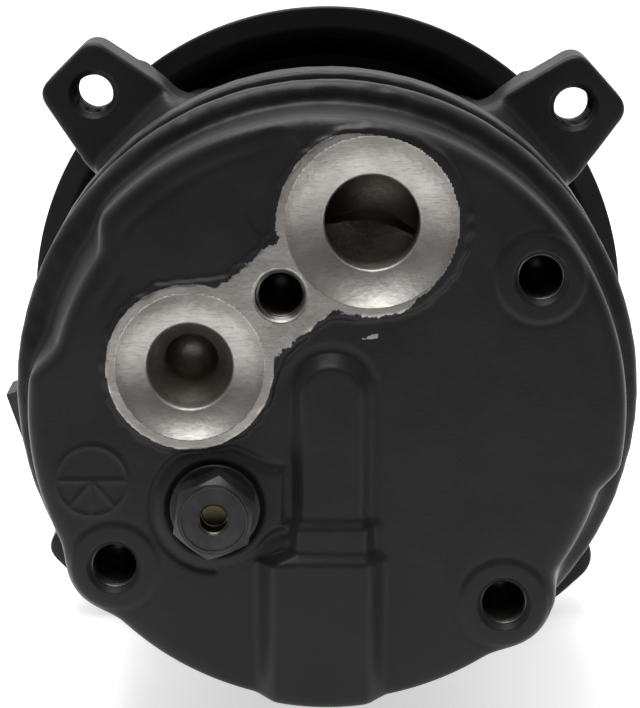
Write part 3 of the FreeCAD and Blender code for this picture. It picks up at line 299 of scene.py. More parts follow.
def plateau_edge(x, z):
    """Distance outside the raised face's outline, which has two notches and two bosses, and how
    far a point lies in a notch, from 0 to 1."""
    radius = np.sqrt(x * x + (z + plateau_drop) ** 2)
    angle = np.degrees(np.arctan2(z, x))
    upper = rise(angle, *upper_notch[:2]) * (1 - rise(angle, *upper_notch[2:]))
    lower = rise(angle, *lower_notch[:2]) * (1 - rise(angle, *lower_notch[2:]))
    outline = radius - (plateau_r + 0.3 - upper_notch_depth * upper - lower_notch_depth * lower)
    for hole in rear_holes[1:]:
        outline = merge(outline, from_axis(x, z, hole) - hole_boss_r, 3.0)
    return outline, np.maximum(upper, lower)


def web_edge(x, z):
    """Distance outside the low web that joins the relief valve's seat to the passage rib."""
    web = np.maximum(np.abs(z - web_middle) - web_half, x - web_right)
    web = trim(np.maximum(web, web_left - x), 0.75 * x - 0.66 * z - 11.4, 2.0)
    return merge(web, from_axis(x, z, relief) - relief_ring_r, 3.0)


def rib_shape(x, z):
    """Height of the passage rib, its collar and the control valve's housing, and how far a point
    lies outside the rib."""
    to_collar = rise(-z, 21.6, 24.0)
    to_housing = rise(-z, 28.2, 31.0)
    middle = 0.9 - 2.1 * to_housing
    half = rib_half + collar_wider * to_collar + housing_wider * to_housing
    proud = rib_proud + collar_prouder * to_collar + housing_prouder * to_housing
    along = np.maximum(z - rib_top + half, 0)
    outside = np.sqrt((x - middle) ** 2 + along ** 2) - half
    foot = 3.1 + 2.2 * to_housing
    crown = 0.5 * ((x - middle) / half) ** 2
    return (proud - crown) * (1 - rise(outside, -foot, 0.0)), outside, to_collar


def face_height(x, z):
    """How far the cast face stands proud of its main plane."""
    height = 0.05 * cast_skin(x, 0, z, 26.0, 3) + 0.02 * cast_skin(x, 0, z, 7.0, 4)
    for hole in rear_holes:
        ring = from_axis(x, z, hole)
        height = height + 0.35 * (1 - rise(ring, 8.3, 9.3))
        height = height - 0.2 * (1 - rise(np.abs(ring - hole_boss_r), 0, 0.8))
    # line left by the die along the upper left of the face
    edge = plateau_edge(x, z)[0]
    upper_left = rise(-x, 8.0, 18.0) * rise(z, 14.0, 22.0)
    height = height - 0.35 * upper_left * (1 - rise(np.abs(edge + 5.2), 0.2, 1.3))
    rib, outside, to_collar = rib_shape(x, z)
    moat = 1.0 * (1 - to_collar) * (1 - rise(np.abs(outside - 0.5), 0.3, 1.5))
    # seat of the relief valve: a ring and a web with a groove round both, and a sunk floor
    web = web_edge(x, z)
    height = height + 0.45 * (1 - rise(web, -1.4, -0.4))
    groove = 1.1 * (1 - rise(np.abs(web - 0.4), 0.2, 1.2)) * (1 - rise(-z, 25.0, 29.0) * (x > web_left))
    height = height - np.maximum(groove, moat)
    height = height - 2.7 * (1 - rise(from_axis(x, z, relief), relief_seat_r, relief_seat_r + 1))
    # shallow tongue and small facet beside the suction boss
    tongue = from_line(x, z, (-9.8, 51.0), (-10.8, 39.5))
    height = height - 0.45 * (1 - rise(tongue, 4.5, 5.1))
    height = height - np.clip((z - 52.4 - 0.75 * np.abs(x + 3.4)) * 0.6, 0, 3)
    # casting-date dial: ring, bar and three spokes
    line = np.abs(from_axis(x, z, dial) - dial_r - 0.1)
    line = np.minimum(line, from_line(x, z, (dial[0] - dial_r, dial[1]), (dial[0] + dial_r, dial[1])))
    for angle in np.radians((-50, -90, -130)):
        tip = (dial[0] + dial_r * math.cos(angle), dial[1] + dial_r * math.sin(angle))
        line = np.minimum(line, from_line(x, z, dial, tip))
    height = height + 0.22 * (1 - rise(line, 0.1, 0.6))
    height = np.maximum(height, rib + 0.3 * height)
    pad = 1 - rise(pad_edge(x, z) + 0.35 * cast_skin(x, 0, z, 5.0, 9), -0.3, 0.9)
    return height * (1 - pad) + pad_proud * pad


def head_field(x, y, z):
    """The whole rear head, negative inside."""
    depth = y - y_face
    radius = np.sqrt(x * x + z * z)
    edge, flare = plateau_edge(x, z)
    slope = 0.02 + 0.17 * flare
    plateau = trim((edge - slope * depth) / np.sqrt(1 + slope ** 2), -face_height(x, z) - depth, 3.2)
    rough = 0.10 * cast_skin(x, y, z, 5.0, 5)
    lip = trim(radius - rim_r + 0.5 * rough, plateau_depth - depth + rough * (radius > 57), 3.0)
    lip = trim(lip, depth - plateau_depth - flange_t, 0.8)
    neck = np.maximum(radius - neck_r, plateau_depth + 2.0 - depth)
    body = merge(merge(plateau, lip, 2.2), neck, 0.6)
    body = trim(body, y - y_block, 0.6)
    barrel = np.sqrt((x - valve_x) ** 2 + (y - valve_axis) ** 2)
    bore = np.inf
    for bore_r, top in valve_bores:
        bore = np.minimum(bore, trim(barrel - bore_r, z - top, 0.3))
    body = carve(body, bore, 0.8)
    body = carve(body, np.maximum(radius - stack_r, y_block - stack_depth - y), 0.4)
    room_back = y_block - gas_room_depth - y
    body = carve(body, np.maximum(radius - suction_room_r, room_back), 1.0)
    ring_room = np.maximum(radius - discharge_room_out, discharge_room_in - radius)
    return carve(body, np.maximum(ring_room, room_back), 1.0)


head_low = (-rim_r - 1, y_face - 7.0, -rim_r - 1)
head_high = (rim_r + 1, y_block + 1, rim_r + 1)
grid = lattice(head_low, head_high, head_step)
rear_casting = skin_mesh("rear_head_casting", head_field(*grid), head_low, head_step)


def turned_piece(name, profile, at=(0.0, 0.0), segments=128, closed=True):
    """Solid of revolution about an axis along Y, from (radius, y) points."""
    turns = np.linspace(0, 2 * math.pi, segments, endpoint=False)
    points, faces, rows = [], [], []
    for radius, y in profile:
        if radius < 1e-6:
            rows.append([len(points)])
            points.append((at[0], y, at[1]))
        else:
            rows.append(list(range(len(points), len(points) + segments)))
            points += [(at[0] + radius * math.cos(t), y, at[1] + radius * math.sin(t)) for t in turns]
    pairs = list(zip(rows, rows[1:] + rows[:1])) if closed else list(zip(rows, rows[1:]))
    for a, b in pairs:
        for k in range(segments):
            n = (k + 1) % segments
            if len(a) == 1 and len(b) == 1:
                break
            if len(a) == 1:
                faces.append((a[0], b[k], b[n]))
            elif len(b) == 1:
                faces.append((a[k], b[0], a[n]))
            else:
                faces.append((a[k], b[k], b[n], a[n]))
    return mesh_piece(name, points, faces)


def tapping(name, at, y_mouth, y_end, through=False):
    """Cutter for an M10 hole: chamfered mouth, 60-degree thread and drill point."""
    pitch, segments, rows_per_pitch = 1.5, 64, 10
    turns = np.arange(segments) / segments
    ys = np.arange(y_mouth - 1.5, y_end, pitch / rows_per_pitch)
    points, faces = [], []
    for y in ys:
        saw = np.abs(((y - y_mouth) / pitch + turns) % 1.0 - 0.5) * 2
        fade = min(1.0, max(0.0, (y_end - y) / 2.0))
        radius = tap_r + 0.75 * fade * np.clip(1.25 * saw - 0.15, 0, 1)
        radius = np.maximum(radius, tap_mouth_r + 0.2 - np.maximum(0, y - y_mouth))
        if through:
            radius = np.maximum(radius, tap_mouth_r + 0.2 - np.maximum(0, y_end - 1.5 - y))
        points += list(zip(at[0] + radius * np.cos(2 * math.pi * turns), [y] * segments,
                           at[1] + radius * np.sin(2 * math.pi * turns)))
    for row in range(len(ys) - 1):
        for k in range(segments):
            n = (k + 1) % segments
            a, b = row * segments, (row + 1) * segments
            faces.append((a + k, b + k, b + n, a + n))
    first, last = len(points), len(points) + 1
    tip = 0.0 if through else tap_r * 0.55
    points += [(at[0], ys[0], at[1]), (at[0], ys[-1] + tip, at[1])]
    a, b = 0, (len(ys) - 1) * segments
    for k in range(segments):
        n = (k + 1) % segments
        faces.append((first, a + k, a + n))
        faces.append((b + k, last, b + n))
    return mesh_piece(name, points, faces)


def combine(piece, other, operation):
    """Boolean of a piece with a second solid, which is then deleted."""
    step = piece.modifiers.new("combine", "BOOLEAN")
    step.operation, step.solver, step.object = operation, "MANIFOLD", other
    settle(piece)
    bpy.data.objects.remove(other)


def cut_away(piece, cutter):
    combine(piece, cutter, "DIFFERENCE")


def settle(piece):
    """Applies the modifiers of a piece to its mesh."""
    view = bpy.context.evaluated_depsgraph_get()
    mesh = bpy.data.meshes.new_from_object(piece.evaluated_get(view))
    piece.modifiers.clear()
    piece.data = mesh


y_pad_mm = y_face - pad_proud
ledge_at = (6.0, 14.6)
cut_away(rear_casting, turned_piece("seat_cut", [
    (0, y_pad_mm - 3), (suction_seat_r, y_pad_mm - 3), (suction_seat_r, y_pad_mm + seat_depth),
    (suction_bore_r + 0.6, y_pad_mm + seat_depth), (suction_bore_r, y_pad_mm + seat_depth + 0.6),
    (suction_bore_r, y_face + 9.0), (0, y_face + 9.0)], suction, closed=False))
deep = turned_piece("deep_cut", [(0, y_face + 8), (suction_bore_r + 1.6, y_face + 8),
                                 (suction_bore_r + 1.6, y_face + 18.0), (0, y_face + 18.0)],
                    (suction[0] + 1.4, suction[1] + 0.6), closed=False)
cut_away(deep, turned_piece("ledge_cut", [(0, y_face + 5), (22.0, y_face + 5), (22.0, y_face + 22),
                                          (0, y_face + 22)], ledge_at, closed=False))
cut_away(rear_casting, deep)
cut_away(rear_casting, turned_piece("seat_cut", [
    (0, y_pad_mm - 3), (discharge_seat_r, y_pad_mm - 3), (discharge_seat_r, y_pad_mm + seat_depth),
    (discharge_bore_r + 0.7, y_pad_mm + seat_depth), (discharge_bore_r, y_pad_mm + seat_depth + 0.7),
    (discharge_bore_r, y_face + 3.0), (7.4, y_face + 3.6), (7.2, y_face + 5.2), (5.5, y_face + 5.7),
    (5.2, y_face + 13.0), (0, y_face + 15.5)], discharge, closed=False))
cut_away(rear_casting, tapping("manifold_cut", manifold, y_pad_mm, y_pad_mm + tap_depth))
for hole in rear_holes:
    cut_away(rear_casting, tapping("hole_cut", hole, y_face - 0.35, y_face + tap_depth))
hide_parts("rear_head")
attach(rear_casting, "housing")


def bare_depth(x, y, z):
    """How far inside the masked, bare part of the pad a point lies, or 4 where it was cut."""
    right = rise(x - suction[0] + 0.35 * (z - suction[1]), -4.0, 12.0)
    from_suction = 18.7 - 1.9 * right - from_axis(x, z, suction)
    from_suction = from_suction * (1 + 2.5 * (1 - right) * (z > 38))
    from_discharge = 4 * (discharge_boss_r - 0.4 - from_axis(x, z, discharge))
    neck = neck_half - 0.6 - from_line(x, z, suction, discharge)
    bare = np.maximum(np.maximum(from_suction, from_discharge), neck)
    bare = np.where(y > y_face - 0.1, -3.0, bare)
    chip = 0.7 - from_line(x, z, (7.0, 14.3), (9.6, 14.9)) / 0.55
    bare = np.maximum(bare, np.where(y < y_face + 3, chip, -3))
    inside = np.minimum(from_axis(x, z, suction) - suction_seat_r - 0.05,
                        from_axis(x, z, discharge) - discharge_seat_r - 0.05)
    return np.where((inside < 0) & (y < y_face + 26), 4.0, bare)


def paint_attribute(piece, name, values):
    made = piece.data.attributes.new(name, "FLOAT", "POINT")
    made.data.foreach_set("value", values.astype(np.float32))


def points_of(piece):
    spots = np.zeros(len(piece.data.vertices) * 3)
    piece.data.vertices.foreach_get("co", spots)
    return (spots.reshape(-1, 3) / mm).T


paint_attribute(rear_casting, "bare", bare_depth(*points_of(rear_casting)))


def new_material(name):
    made = bpy.data.materials.new(name)
    made.use_nodes = True
    tree = made.node_tree
    place = add_node(tree, "ShaderNodeTexCoord").outputs["Object"]
    return made, tree, tree.nodes["Principled BSDF"], place


def grain(tree, place, scale, detail=4.0, rough=0.55):
    return add_node(tree, "ShaderNodeTexNoise", {"Vector": place, "Scale": scale, "Detail": detail,
                    "Roughness": rough}).outputs["Fac"]


def span(tree, value, low, high, out_low, out_high):
    return add_node(tree, "ShaderNodeMapRange", {"Value": value, "From Min": low, "From Max": high,
                    "To Min": out_low, "To Max": out_high}).outputs["Result"]


def mix_colour(tree, share, a, b):
    mix = tree.nodes.new("ShaderNodeMix")
    mix.data_type = "RGBA"
    colours = [socket for socket in mix.inputs if socket.type == "RGBA"]
    tree.links.new(share, mix.inputs["Factor"])
    for socket, value in zip(colours, (a, b)):
        if isinstance(value, bpy.types.NodeSocket):
            tree.links.new(value, socket)
        else:
            socket.default_value = (*value, 1)
    return [socket for socket in mix.outputs if socket.type == "RGBA"][0]


def mix_value(tree, share, a, b):
    mix = add_node(tree, "ShaderNodeMix", {"Factor": share}, data_type="FLOAT")
    for socket, value in zip([s for s in mix.inputs if s.type == "VALUE"][1:], (a, b)):
        if isinstance(value, bpy.types.NodeSocket):
            tree.links.new(value, socket)
        else:
            socket.default_value = value
    return mix.outputs["Result"]


def bump(tree, height, strength, distance):
    return add_node(tree, "ShaderNodeBump", {"Height": height, "Strength": strength,
                    "Distance": distance}).outputs["Normal"]


def black_paint(name, bare=True):
    """Satin black paint on a casting; where the bare attribute says so, machined aluminium, coloured darker
    further behind the rear face as painted shade for the bores.
    """
    made, tree, shader, place = new_material(name)
    mottle = grain(tree, place, 60.0)
    speck = grain(tree, place, 900.0, 3.0)
    paint = mix_colour(tree, span(tree, mottle, 0.35, 0.7, 0, 1), (0.0120, 0.0112, 0.0122),
                       (0.0165, 0.0155, 0.0168))
    gloss = span(tree, mottle, 0.3, 0.7, 0.36, 0.43)
    metal_share = 0.0
    if bare:
        depth = add_node(tree, "ShaderNodeAttribute", attribute_name="bare").outputs["Fac"]
        ragged = span(tree, grain(tree, place, 420.0, 6.0, 0.7), 0.25, 0.75, -1.1, 1.1)
        edge = add_node(tree, "ShaderNodeMath", {0: depth, 1: ragged}, operation="ADD").outputs[0]
        metal_share = span(tree, edge, -0.08, 0.12, 0, 1)
        scratch_way = add_node(tree, "ShaderNodeMapping", {"Vector": place, "Scale": (1.0, 1.0, 9.0),
                               "Rotation": (0, math.radians(-38), 0)}).outputs[0]
        scratch = grain(tree, scratch_way, 500.0, 3.0)
        # painted shade: bare metal is coloured darker and browner the further it lies behind the rear face,
        # three quarters of the way from 6 mm on, standing in for shade deep in the bores
        painted_depth_shade = add_node(tree, "ShaderNodeSeparateXYZ", {0: place}).outputs["Y"]
        painted_depth_shade = span(tree, painted_depth_shade, (y_face + 0.5) * mm, (y_face + 6) * mm, 0, 0.75)
        stain = grain(tree, place, 130.0, 5.0)
        metal = mix_colour(tree, span(tree, stain, 0.35, 0.7, 0, 1), (0.27, 0.256, 0.238),
                           (0.38, 0.365, 0.345))
        metal = mix_colour(tree, span(tree, scratch, 0.55, 0.75, 0, 0.5), metal, (0.15, 0.142, 0.132))
        metal = mix_colour(tree, painted_depth_shade, metal, (0.135, 0.118, 0.095))
        paint = mix_colour(tree, metal_share, paint, metal)
        gloss = mix_value(tree, metal_share, gloss, span(tree, scratch, 0.3, 0.7, 0.36, 0.5))
        tree.links.new(metal_share, shader.inputs["Metallic"])
    tree.links.new(paint, shader.inputs["Base Color"])
    tree.links.new(gloss, shader.inputs["Roughness"])
    tree.links.new(bump(tree, speck, 0.22, 0.0003), shader.inputs["Normal"])
    shader.inputs["Specular IOR Level"].default_value = 0.15
    return made


def patterned(name, pattern, ends, shades, gloss, fine=None, depth=0.2, fall=0.0001, **constants):
    """Material whose colour and gloss follow one noise pattern, (scale, detail), between its two
    ends; a second, finer pattern may give the bump."""
    made, tree, shader, place = new_material(name)
    spots = grain(tree, place, *pattern)
    tree.links.new(mix_colour(tree, span(tree, spots, *ends, 0, 1), *shades), shader.inputs["Base Color"])
    tree.links.new(span(tree, spots, 0.3, 0.7, *gloss), shader.inputs["Roughness"])
    relief = grain(tree, place, *fine) if fine else spots
    tree.links.new(bump(tree, relief, depth, fall), shader.inputs["Normal"])
    for socket, value in constants.items():
        shader.inputs[socket.replace("_", " ")].default_value = value
    return made


def turned_metal(name, dark, light, rough_low, rough_high, scale=250.0):
    """Cut or drawn metal with fine grain, small stains and uneven gloss."""
    return patterned(name, (scale, 6.0), (0.32, 0.7), (dark, light), (rough_low, rough_high),
                     (scale * 9, 2.0), 0.15, Metallic=1.0)


painted_and_bare = black_paint("painted_rear_head")
# The threads' dark colour is partly paint and oil on them and partly painted shade inside the holes.
shaded_thread_metal = turned_metal("shaded_cut_thread", (0.07, 0.066, 0.062), (0.17, 0.16, 0.15), 0.28, 0.42)
rear_casting.data.materials.clear()
rear_casting.data.materials.append(painted_and_bare)
rear_casting.data.materials.append(shaded_thread_metal)


def thread_faces(piece, holes, length):
    """Gives the faces inside the tapped holes, each an (x, z) place and where its thread starts,
    the second material."""
    count = len(piece.data.polygons)
    middle = np.zeros(count * 3)
    piece.data.polygons.foreach_get("center", middle)
    x, y, z = middle.reshape(-1, 3).T / mm
    inside = np.zeros(count, bool)
    for hole, y0 in holes:
        inside |= (from_axis(x, z, hole) < tap_r + 0.8) & (y > y0) & (y < y0 + length)
    piece.data.polygons.foreach_set("material_index", inside.astype(np.int32))


thread_starts = [(manifold, y_face - 0.5)] + [(hole, y_face + 0.9) for hole in rear_holes]
thread_faces(rear_casting, thread_starts, 20.0)
rear_casting.data.polygons.foreach_set("use_smooth", [True] * len(rear_casting.data.polygons))


def finish(made, *names):
    """Gives CAD nodes their material."""
    for name in names:
        for slot in frame["nodes"][name].material_slots:
            slot.material = made


# ---- relief valve --------------------------------------------------------
# A brass cartridge with a black hexagon head, screwed into the rear head beside the discharge
# port. A small piston inside lifts against a wire spring and lets gas out of the centre hole.

relief_hex_flat, relief_hex_t, relief_vent_r = 15.0, 8.4, 2.7
relief_turn = math.radians(82)
y_hex = y_face - relief_hex_t - 1.0


def soft_profile(corners, radius=0.6, steps=4):
    """Closed (radius, y) outline with its corners rounded, none on the axis."""
    outline = []
    for k, corner in enumerate(corners):
        here = np.array(corner, float)
        back = np.array(corners[k - 1], float) - here
        ahead = np.array(corners[(k + 1) % len(corners)], float) - here
        lengths = np.linalg.norm(back), np.linalg.norm(ahead)
        if here[0] < 1e-6:
            outline.append(tuple(here))
            continue
        reach = min(radius, 0.42 * lengths[0], 0.42 * lengths[1])
        start, end = here + back / lengths[0] * reach, here + ahead / lengths[1] * reach
        outline.append(tuple(start + back / lengths[0] * 0.12 * reach))
        for t in np.linspace(0, 1, steps + 1):
            outline.append(tuple((1 - t) ** 2 * start + 2 * t * (1 - t) * here + t * t * end))
        outline.append(tuple(end + ahead / lengths[1] * 0.12 * reach))
    return outline


def crisp(piece, degrees=35):
    """Smooth shading, with an edge kept wherever two faces meet at more than this angle."""
    piece.data.polygons.foreach_set("use_smooth", [True] * len(piece.data.polygons))
    piece.data.set_sharp_from_angle(angle=math.radians(degrees))
    return piece


def hexagon_head(name, flat, y0, y1, at, turn, chamfer, both=True):
    """Six-sided head whose corners are turned off at one end or both."""
    corner = flat / math.sqrt(3)
    points = []
    for y in (y0, y1):
        points += [(at[0] + corner * math.cos(turn + k * math.pi / 3), y,
                    at[1] + corner * math.sin(turn + k * math.pi / 3)) for k in range(6)]
    faces = [(0, 1, 2, 3, 4, 5), (11, 10, 9, 8, 7, 6)]
    faces += [(k + 6, (k + 1) % 6 + 6, (k + 1) % 6, k) for k in range(6)]
    head = mesh_piece(name, points, faces, smooth=False)
    wide = corner + 0.5
    far = y1 - chamfer if both else y1 + 0.5
    outline = [(0, y0 - 0.01), (flat / 2 - 0.4, y0 - 0.01), (wide, y0 + chamfer), (wide, far)]
    outline += [(flat / 2 - 0.4, y1 + 0.01), (0, y1 + 0.01)] if both else [(0, y1 + 0.5)]
    blank = turned_piece(name + "_blank", outline, at, 96, closed=False)
    combine(head, blank, "INTERSECT")
    return head


def join_pieces(name, pieces):
    """One mesh object out of several."""
    points, faces = [], []
    for piece in pieces:
        first = len(points)
        points += [tuple(v.co / mm) for v in piece.data.vertices]
        faces += [tuple(first + k for k in p.vertices) for p in piece.data.polygons]
        bpy.data.objects.remove(piece)
    return crisp(mesh_piece(name, points, faces))


relief_head = hexagon_head("relief_hexagon", relief_hex_flat, y_hex, y_face - 1.0, relief, relief_turn,
                           2.0, both=False)
face_ring = turned_piece("face_ring", soft_profile([
    (6.3, y_hex - 0.3), (6.75, y_hex - 0.3), (6.75, y_hex + 0.3), (6.3, y_hex + 0.3)], 0.25), relief, 96)
collar = turned_piece("relief_collar", soft_profile([
    (2.0, y_face - 1.2), (9.0, y_face - 1.2), (9.0, y_face + 0.4), (7.6, y_face + 0.6),
    (7.6, y_face + 2.6), (2.0, y_face + 2.6)], 0.35), relief, 96)
vent = turned_piece("vent_cut", [(0, y_hex - 1), (relief_vent_r + 0.5, y_hex - 1),
                                 (relief_vent_r + 0.5, y_hex + 0.0), (relief_vent_r, y_hex + 0.5),
                                 (relief_vent_r, y_hex + 6.4), (0, y_hex + 7.0)], relief, 64, closed=False)
cut_away(relief_head, vent)
relief_body = join_pieces("relief_valve", [relief_head, face_ring, collar])
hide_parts("relief_valve_body")
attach(relief_body, "housing")
x, y, z = points_of(relief_body)
paint_attribute(relief_body, "bare",
                np.where(from_axis(x, z, relief) < relief_vent_r + 0.3, 4.0, -3.0))


def black_steel(name):
    """Blackened steel with a thin oily gloss, worn a little lighter in places."""
    return patterned(name, (220.0, 5.0), (0.45, 0.75), ((0.012, 0.0115, 0.012), (0.035, 0.034, 0.034)),
                     (0.26, 0.4), (1500.0,), 0.15, Specular_IOR_Level=0.25)


relief_black = black_steel("relief_black")
tree = relief_black.node_tree
shader = tree.nodes["Principled BSDF"]
# painted shade: inside the vent the bore gets a brass tone far darker than brass, standing in for the shade
# in the hole
brass_share = add_node(tree, "ShaderNodeAttribute", attribute_name="bare").outputs["Fac"]
brass_share = span(tree, brass_share, 0.0, 1.0, 0, 1)
steel_colour = shader.inputs["Base Color"].links[0].from_socket
painted_shade_vent_colour = mix_colour(tree, brass_share, steel_colour, (0.085, 0.075, 0.042))
tree.links.new(painted_shade_vent_colour, shader.inputs["Base Color"])
tree.links.new(brass_share, shader.inputs["Metallic"])
relief_body.data.materials.append(relief_black)

brass = turned_metal("brass", (0.42, 0.31, 0.13), (0.58, 0.44, 0.20), 0.25, 0.42)
spring_steel = turned_metal("spring_steel", (0.20, 0.20, 0.21), (0.34, 0.34, 0.35), 0.25, 0.38, 600.0)
finish(brass, "relief_poppet")
finish(spring_steel, "relief_spring")


# ---- control valve -------------------------------------------------------
# A plated steel cartridge that sets the plate's tilt from the suction pressure. It stands upright
# in the housing at the bottom of the rear head, sealed by three rings and held by a clip.

plated = turned_metal("plated_steel", (0.42, 0.40, 0.34), (0.56, 0.54, 0.47), 0.22, 0.36)
bright = turned_metal("bright_steel", (0.46, 0.46, 0.45), (0.60, 0.60, 0.59), 0.18, 0.32)


def rubber(name, shade=0.012):
    """Moulded black rubber, matt, with a faint bloom."""
    return patterned(name, (180.0, 5.0), (0.4, 0.8),
                     ((shade, shade, shade), (2.6 * shade, 2.6 * shade, 2.7 * shade)), (0.5, 0.7),
                     (1400.0,), Specular_IOR_Level=0.3)


seal_rubber = rubber("seal_rubber")
finish(plated, "control_valve")
finish(bright, "control_valve_pin")
finish(spring_steel, "control_valve_clip")
finish(seal_rubber, "control_valve_rings")


# ---- valve plate stack ---------------------------------------------------
# A coated gasket, two sheets of spring-steel reeds and a ground valve plate, held in the rear
# head's pocket by the through bolts.

def coated_sheet(name):
    """Rubber-coated steel gasket."""
    return patterned(name, (320.0, 6.0), (0.35, 0.7), ((0.035, 0.037, 0.034), (0.075, 0.078, 0.070)),
                     (0.55, 0.75))


ground = turned_metal("ground_steel", (0.34, 0.34, 0.34), (0.46, 0.46, 0.45), 0.24, 0.38)
finish(coated_sheet("coated_gasket"), "rear_gasket")
finish(spring_steel, "discharge_reeds", "suction_reeds")
finish(ground, "valve_plate")


# ---- cylinder block, bolts and seal rings --------------------------------
# The block is machined from a casting; a narrow band of it shows between the two heads, painted black like
# them.
# Five long bolts pull the front head, block and rear head together.

machined = turned_metal("machined_aluminium", (0.36, 0.35, 0.34), (0.50, 0.49, 0.47), 0.3, 0.46)
dark_steel = turned_metal("dark_steel", (0.06, 0.06, 0.062), (0.12, 0.12, 0.122), 0.3, 0.46)
bronze = turned_metal("bronze", (0.36, 0.21, 0.09), (0.50, 0.31, 0.14), 0.28, 0.42)
finish(black_paint("painted_block", bare=False), "cylinder_block")
finish(dark_steel, "through_bolts")
finish(seal_rubber, "housing_seal_rings")
finish(bronze, "rear_bush", "front_bush")


# ---- pistons, rods and the tilting drive ---------------------------------
# Five coated aluminium pistons on ball-ended rods. The wobble plate rocks on the tilting journal,
# which a lug and a pin drive from the shaft while a sleeve slides along it.

piston_coat = turned_metal("piston_coat", (0.30, 0.30, 0.29), (0.42, 0.42, 0.40), 0.3, 0.45)
bearing_steel = turned_metal("bearing_steel", (0.50, 0.50, 0.50), (0.62, 0.62, 0.62), 0.12, 0.22)
finish(piston_coat, *(f"piston_{k}" for k in range(1, 6)))
finish(dark_steel, *(f"rod_{k}" for k in range(1, 6)), "drive_lug")
finish(machined, "wobble_plate", "journal")
finish(bright, "guide_shoe", "pivot_sleeve", "pivot_pins", "drive_pin", "plate_retainer", "drive_shaft",
       "shaft_key", "thrust_race")
finish(bearing_steel, "plate_needles", "thrust_needles")
finish(spring_steel, "return_spring", "seal_clip")
finish(seal_rubber, "shaft_seal")


# ---- front head ----------------------------------------------------------
# A die-cast aluminium bell with a thick rear rim, four threaded mounting ears, bosses for the
# through bolts and a long nose for the clutch. It is painted black with the rest.

front_low, front_high = (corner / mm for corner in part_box("front_head"))
y_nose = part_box("coil_housing")[0].y / mm
y_end = front_high.y
front_rim_t = 12.0
y_rim_end = front_low.y + front_rim_t
y_taper = y_nose - 51.0
skirt_r, skirt_end_r, nose_r, wall_t = 60.0, 54.4, 17.45, 4.0
bolt_circle_r, bolt_boss_r, bolt_hole_r, first_bolt = 51.2, 7.6, 6.8, -19.5
ear_holes = [mount_at(f"ear_hole_{k}") for k in (1, 2, 3, 4)]
ear_t, ear_setback = 16.0, 36.0
ear_reach, ear_tip_half, ear_root_half, ear_root_r = 9.3, 8.7, 12.5, 64.5
y_ear = y_nose - ear_setback
front_step = 0.6


def ear_outline(along, across, reach, corner_r):
    """Distance outside an ear's outline; along runs out from the shaft."""
    half = ear_root_half + (ear_tip_half - ear_root_half) * (along - ear_root_r) / (reach - ear_root_r)
    sides = (np.abs(across) - np.minimum(half, ear_root_half)) * 0.98
    return trim(sides, along - reach, 2.2 * corner_r)


def front_field(x, y, z):
    """The whole front head, negative inside."""
    radius = np.sqrt(x * x + z * z)
    share = np.clip((y - y_taper) / (y_nose - y_taper), 0, 1)
    skirt = skirt_r + (skirt_end_r - skirt_r) * share
    grainy = 0.08 * cast_skin(x, y, z, 6.0, 7)
    body = trim(radius - skirt + grainy, y - y_nose, 2.0)
    for k in range(5):
        at = polar(bolt_circle_r, first_bolt + 72 * k)
        boss = trim(from_axis(x, z, at) - bolt_boss_r, np.maximum(y - y_nose, y_taper - 6.0 - y), 2.0)
        body = merge(body, boss, 4.0)
    for k, at in enumerate(ear_holes):
        out = math.hypot(*at)
        along = (x * at[0] + z * at[1]) / out
        across = (x * -at[1] + z * at[0]) / out
        outline = ear_outline(along, across, out + ear_reach, 2.6 if k == 3 else 1.7)
        outline = np.maximum(outline + 0.4 * grainy, 40.0 - along)
        slab = trim(outline, np.abs(y - y_ear - ear_t / 2) - ear_t / 2, 1.3)
        gusset = np.maximum(np.abs(across) - ear_root_half + 0.6, 40.0 - along)
        gusset = trim(gusset, along - 63.4 - 0.5 * (y - y_ear), 2.0)
        gusset = trim(gusset, np.abs(y - y_ear - ear_t / 2 + 1.0) - ear_t / 2 - 2.4, 2.5)
        body = merge(body, merge(slab, gusset, 1.2), 4.5)
    rim = trim(radius - rim_r + grainy, np.abs(y - (front_low.y + y_rim_end) / 2) - front_rim_t / 2, 1.6)
    body = merge(body, rim, 2.0)
    body = trim(body, front_low.y - y, 1.2)
    nose = trim(radius - nose_r, y - y_end, 1.0)
    body = np.minimum(body, np.maximum(nose, y_nose - 5.0 - y))
    hollow = np.maximum(radius - skirt + wall_t, y - y_nose + 9.0)
    body = carve(body, hollow, 0.6)
    body = carve(body, np.maximum(radius - 57.4, y - y_taper), 0.4)
    body = carve(body, radius - 9.5, 0.4)
    return carve(body, np.maximum(radius - 14.0, 3.5 - y), 0.4)


reach = max(front_high.x, front_high.z, -front_low.x, -front_low.z) + 1.2
front_low_corner = (-reach, front_low.y - 1.2, -reach)
front_high_corner = (reach, y_end + 1.2, reach)
grid = lattice(front_low_corner, front_high_corner, front_step)
front_casting = skin_mesh("front_head_casting", front_field(*grid), front_low_corner, front_step)
for at in ear_holes:
    cut_away(front_casting, tapping("ear_cut", at, y_ear, y_ear + ear_t + 1.5, through=True))
for k in range(5):
    cut_away(front_casting, turned_piece("bolt_cut", [
        (0, y_nose - 5.5), (bolt_hole_r, y_nose - 5.5), (bolt_hole_r, y_nose + 1), (0, y_nose + 1)],
        polar(bolt_circle_r, first_bolt + 72 * k), 64, closed=False))
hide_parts("front_head")
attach(front_casting, "housing")


def worn_ears(x, y, z):
    """Bare metal where the ears' outer corners have been knocked, and on the nose's machined end."""
    worn = np.full(x.shape, -3.0)
    for at in ear_holes:
        out = math.hypot(*at)
        along = (x * at[0] + z * at[1]) / out
        across = np.abs((x * -at[1] + z * at[0]) / out)
        corner = np.hypot(along - out - ear_reach + 0.5, across - ear_tip_half + 0.5)
        edge = np.minimum(np.abs(y - y_ear), np.abs(y - y_ear - ear_t))
        worn = np.maximum(worn, np.where(along > 60, -0.25 - 0.22 * corner - 0.9 * edge, -3))
    return np.where(np.hypot(x, z) < nose_r + 0.3, np.where(y > y_nose - 6, 4.0, worn), worn)


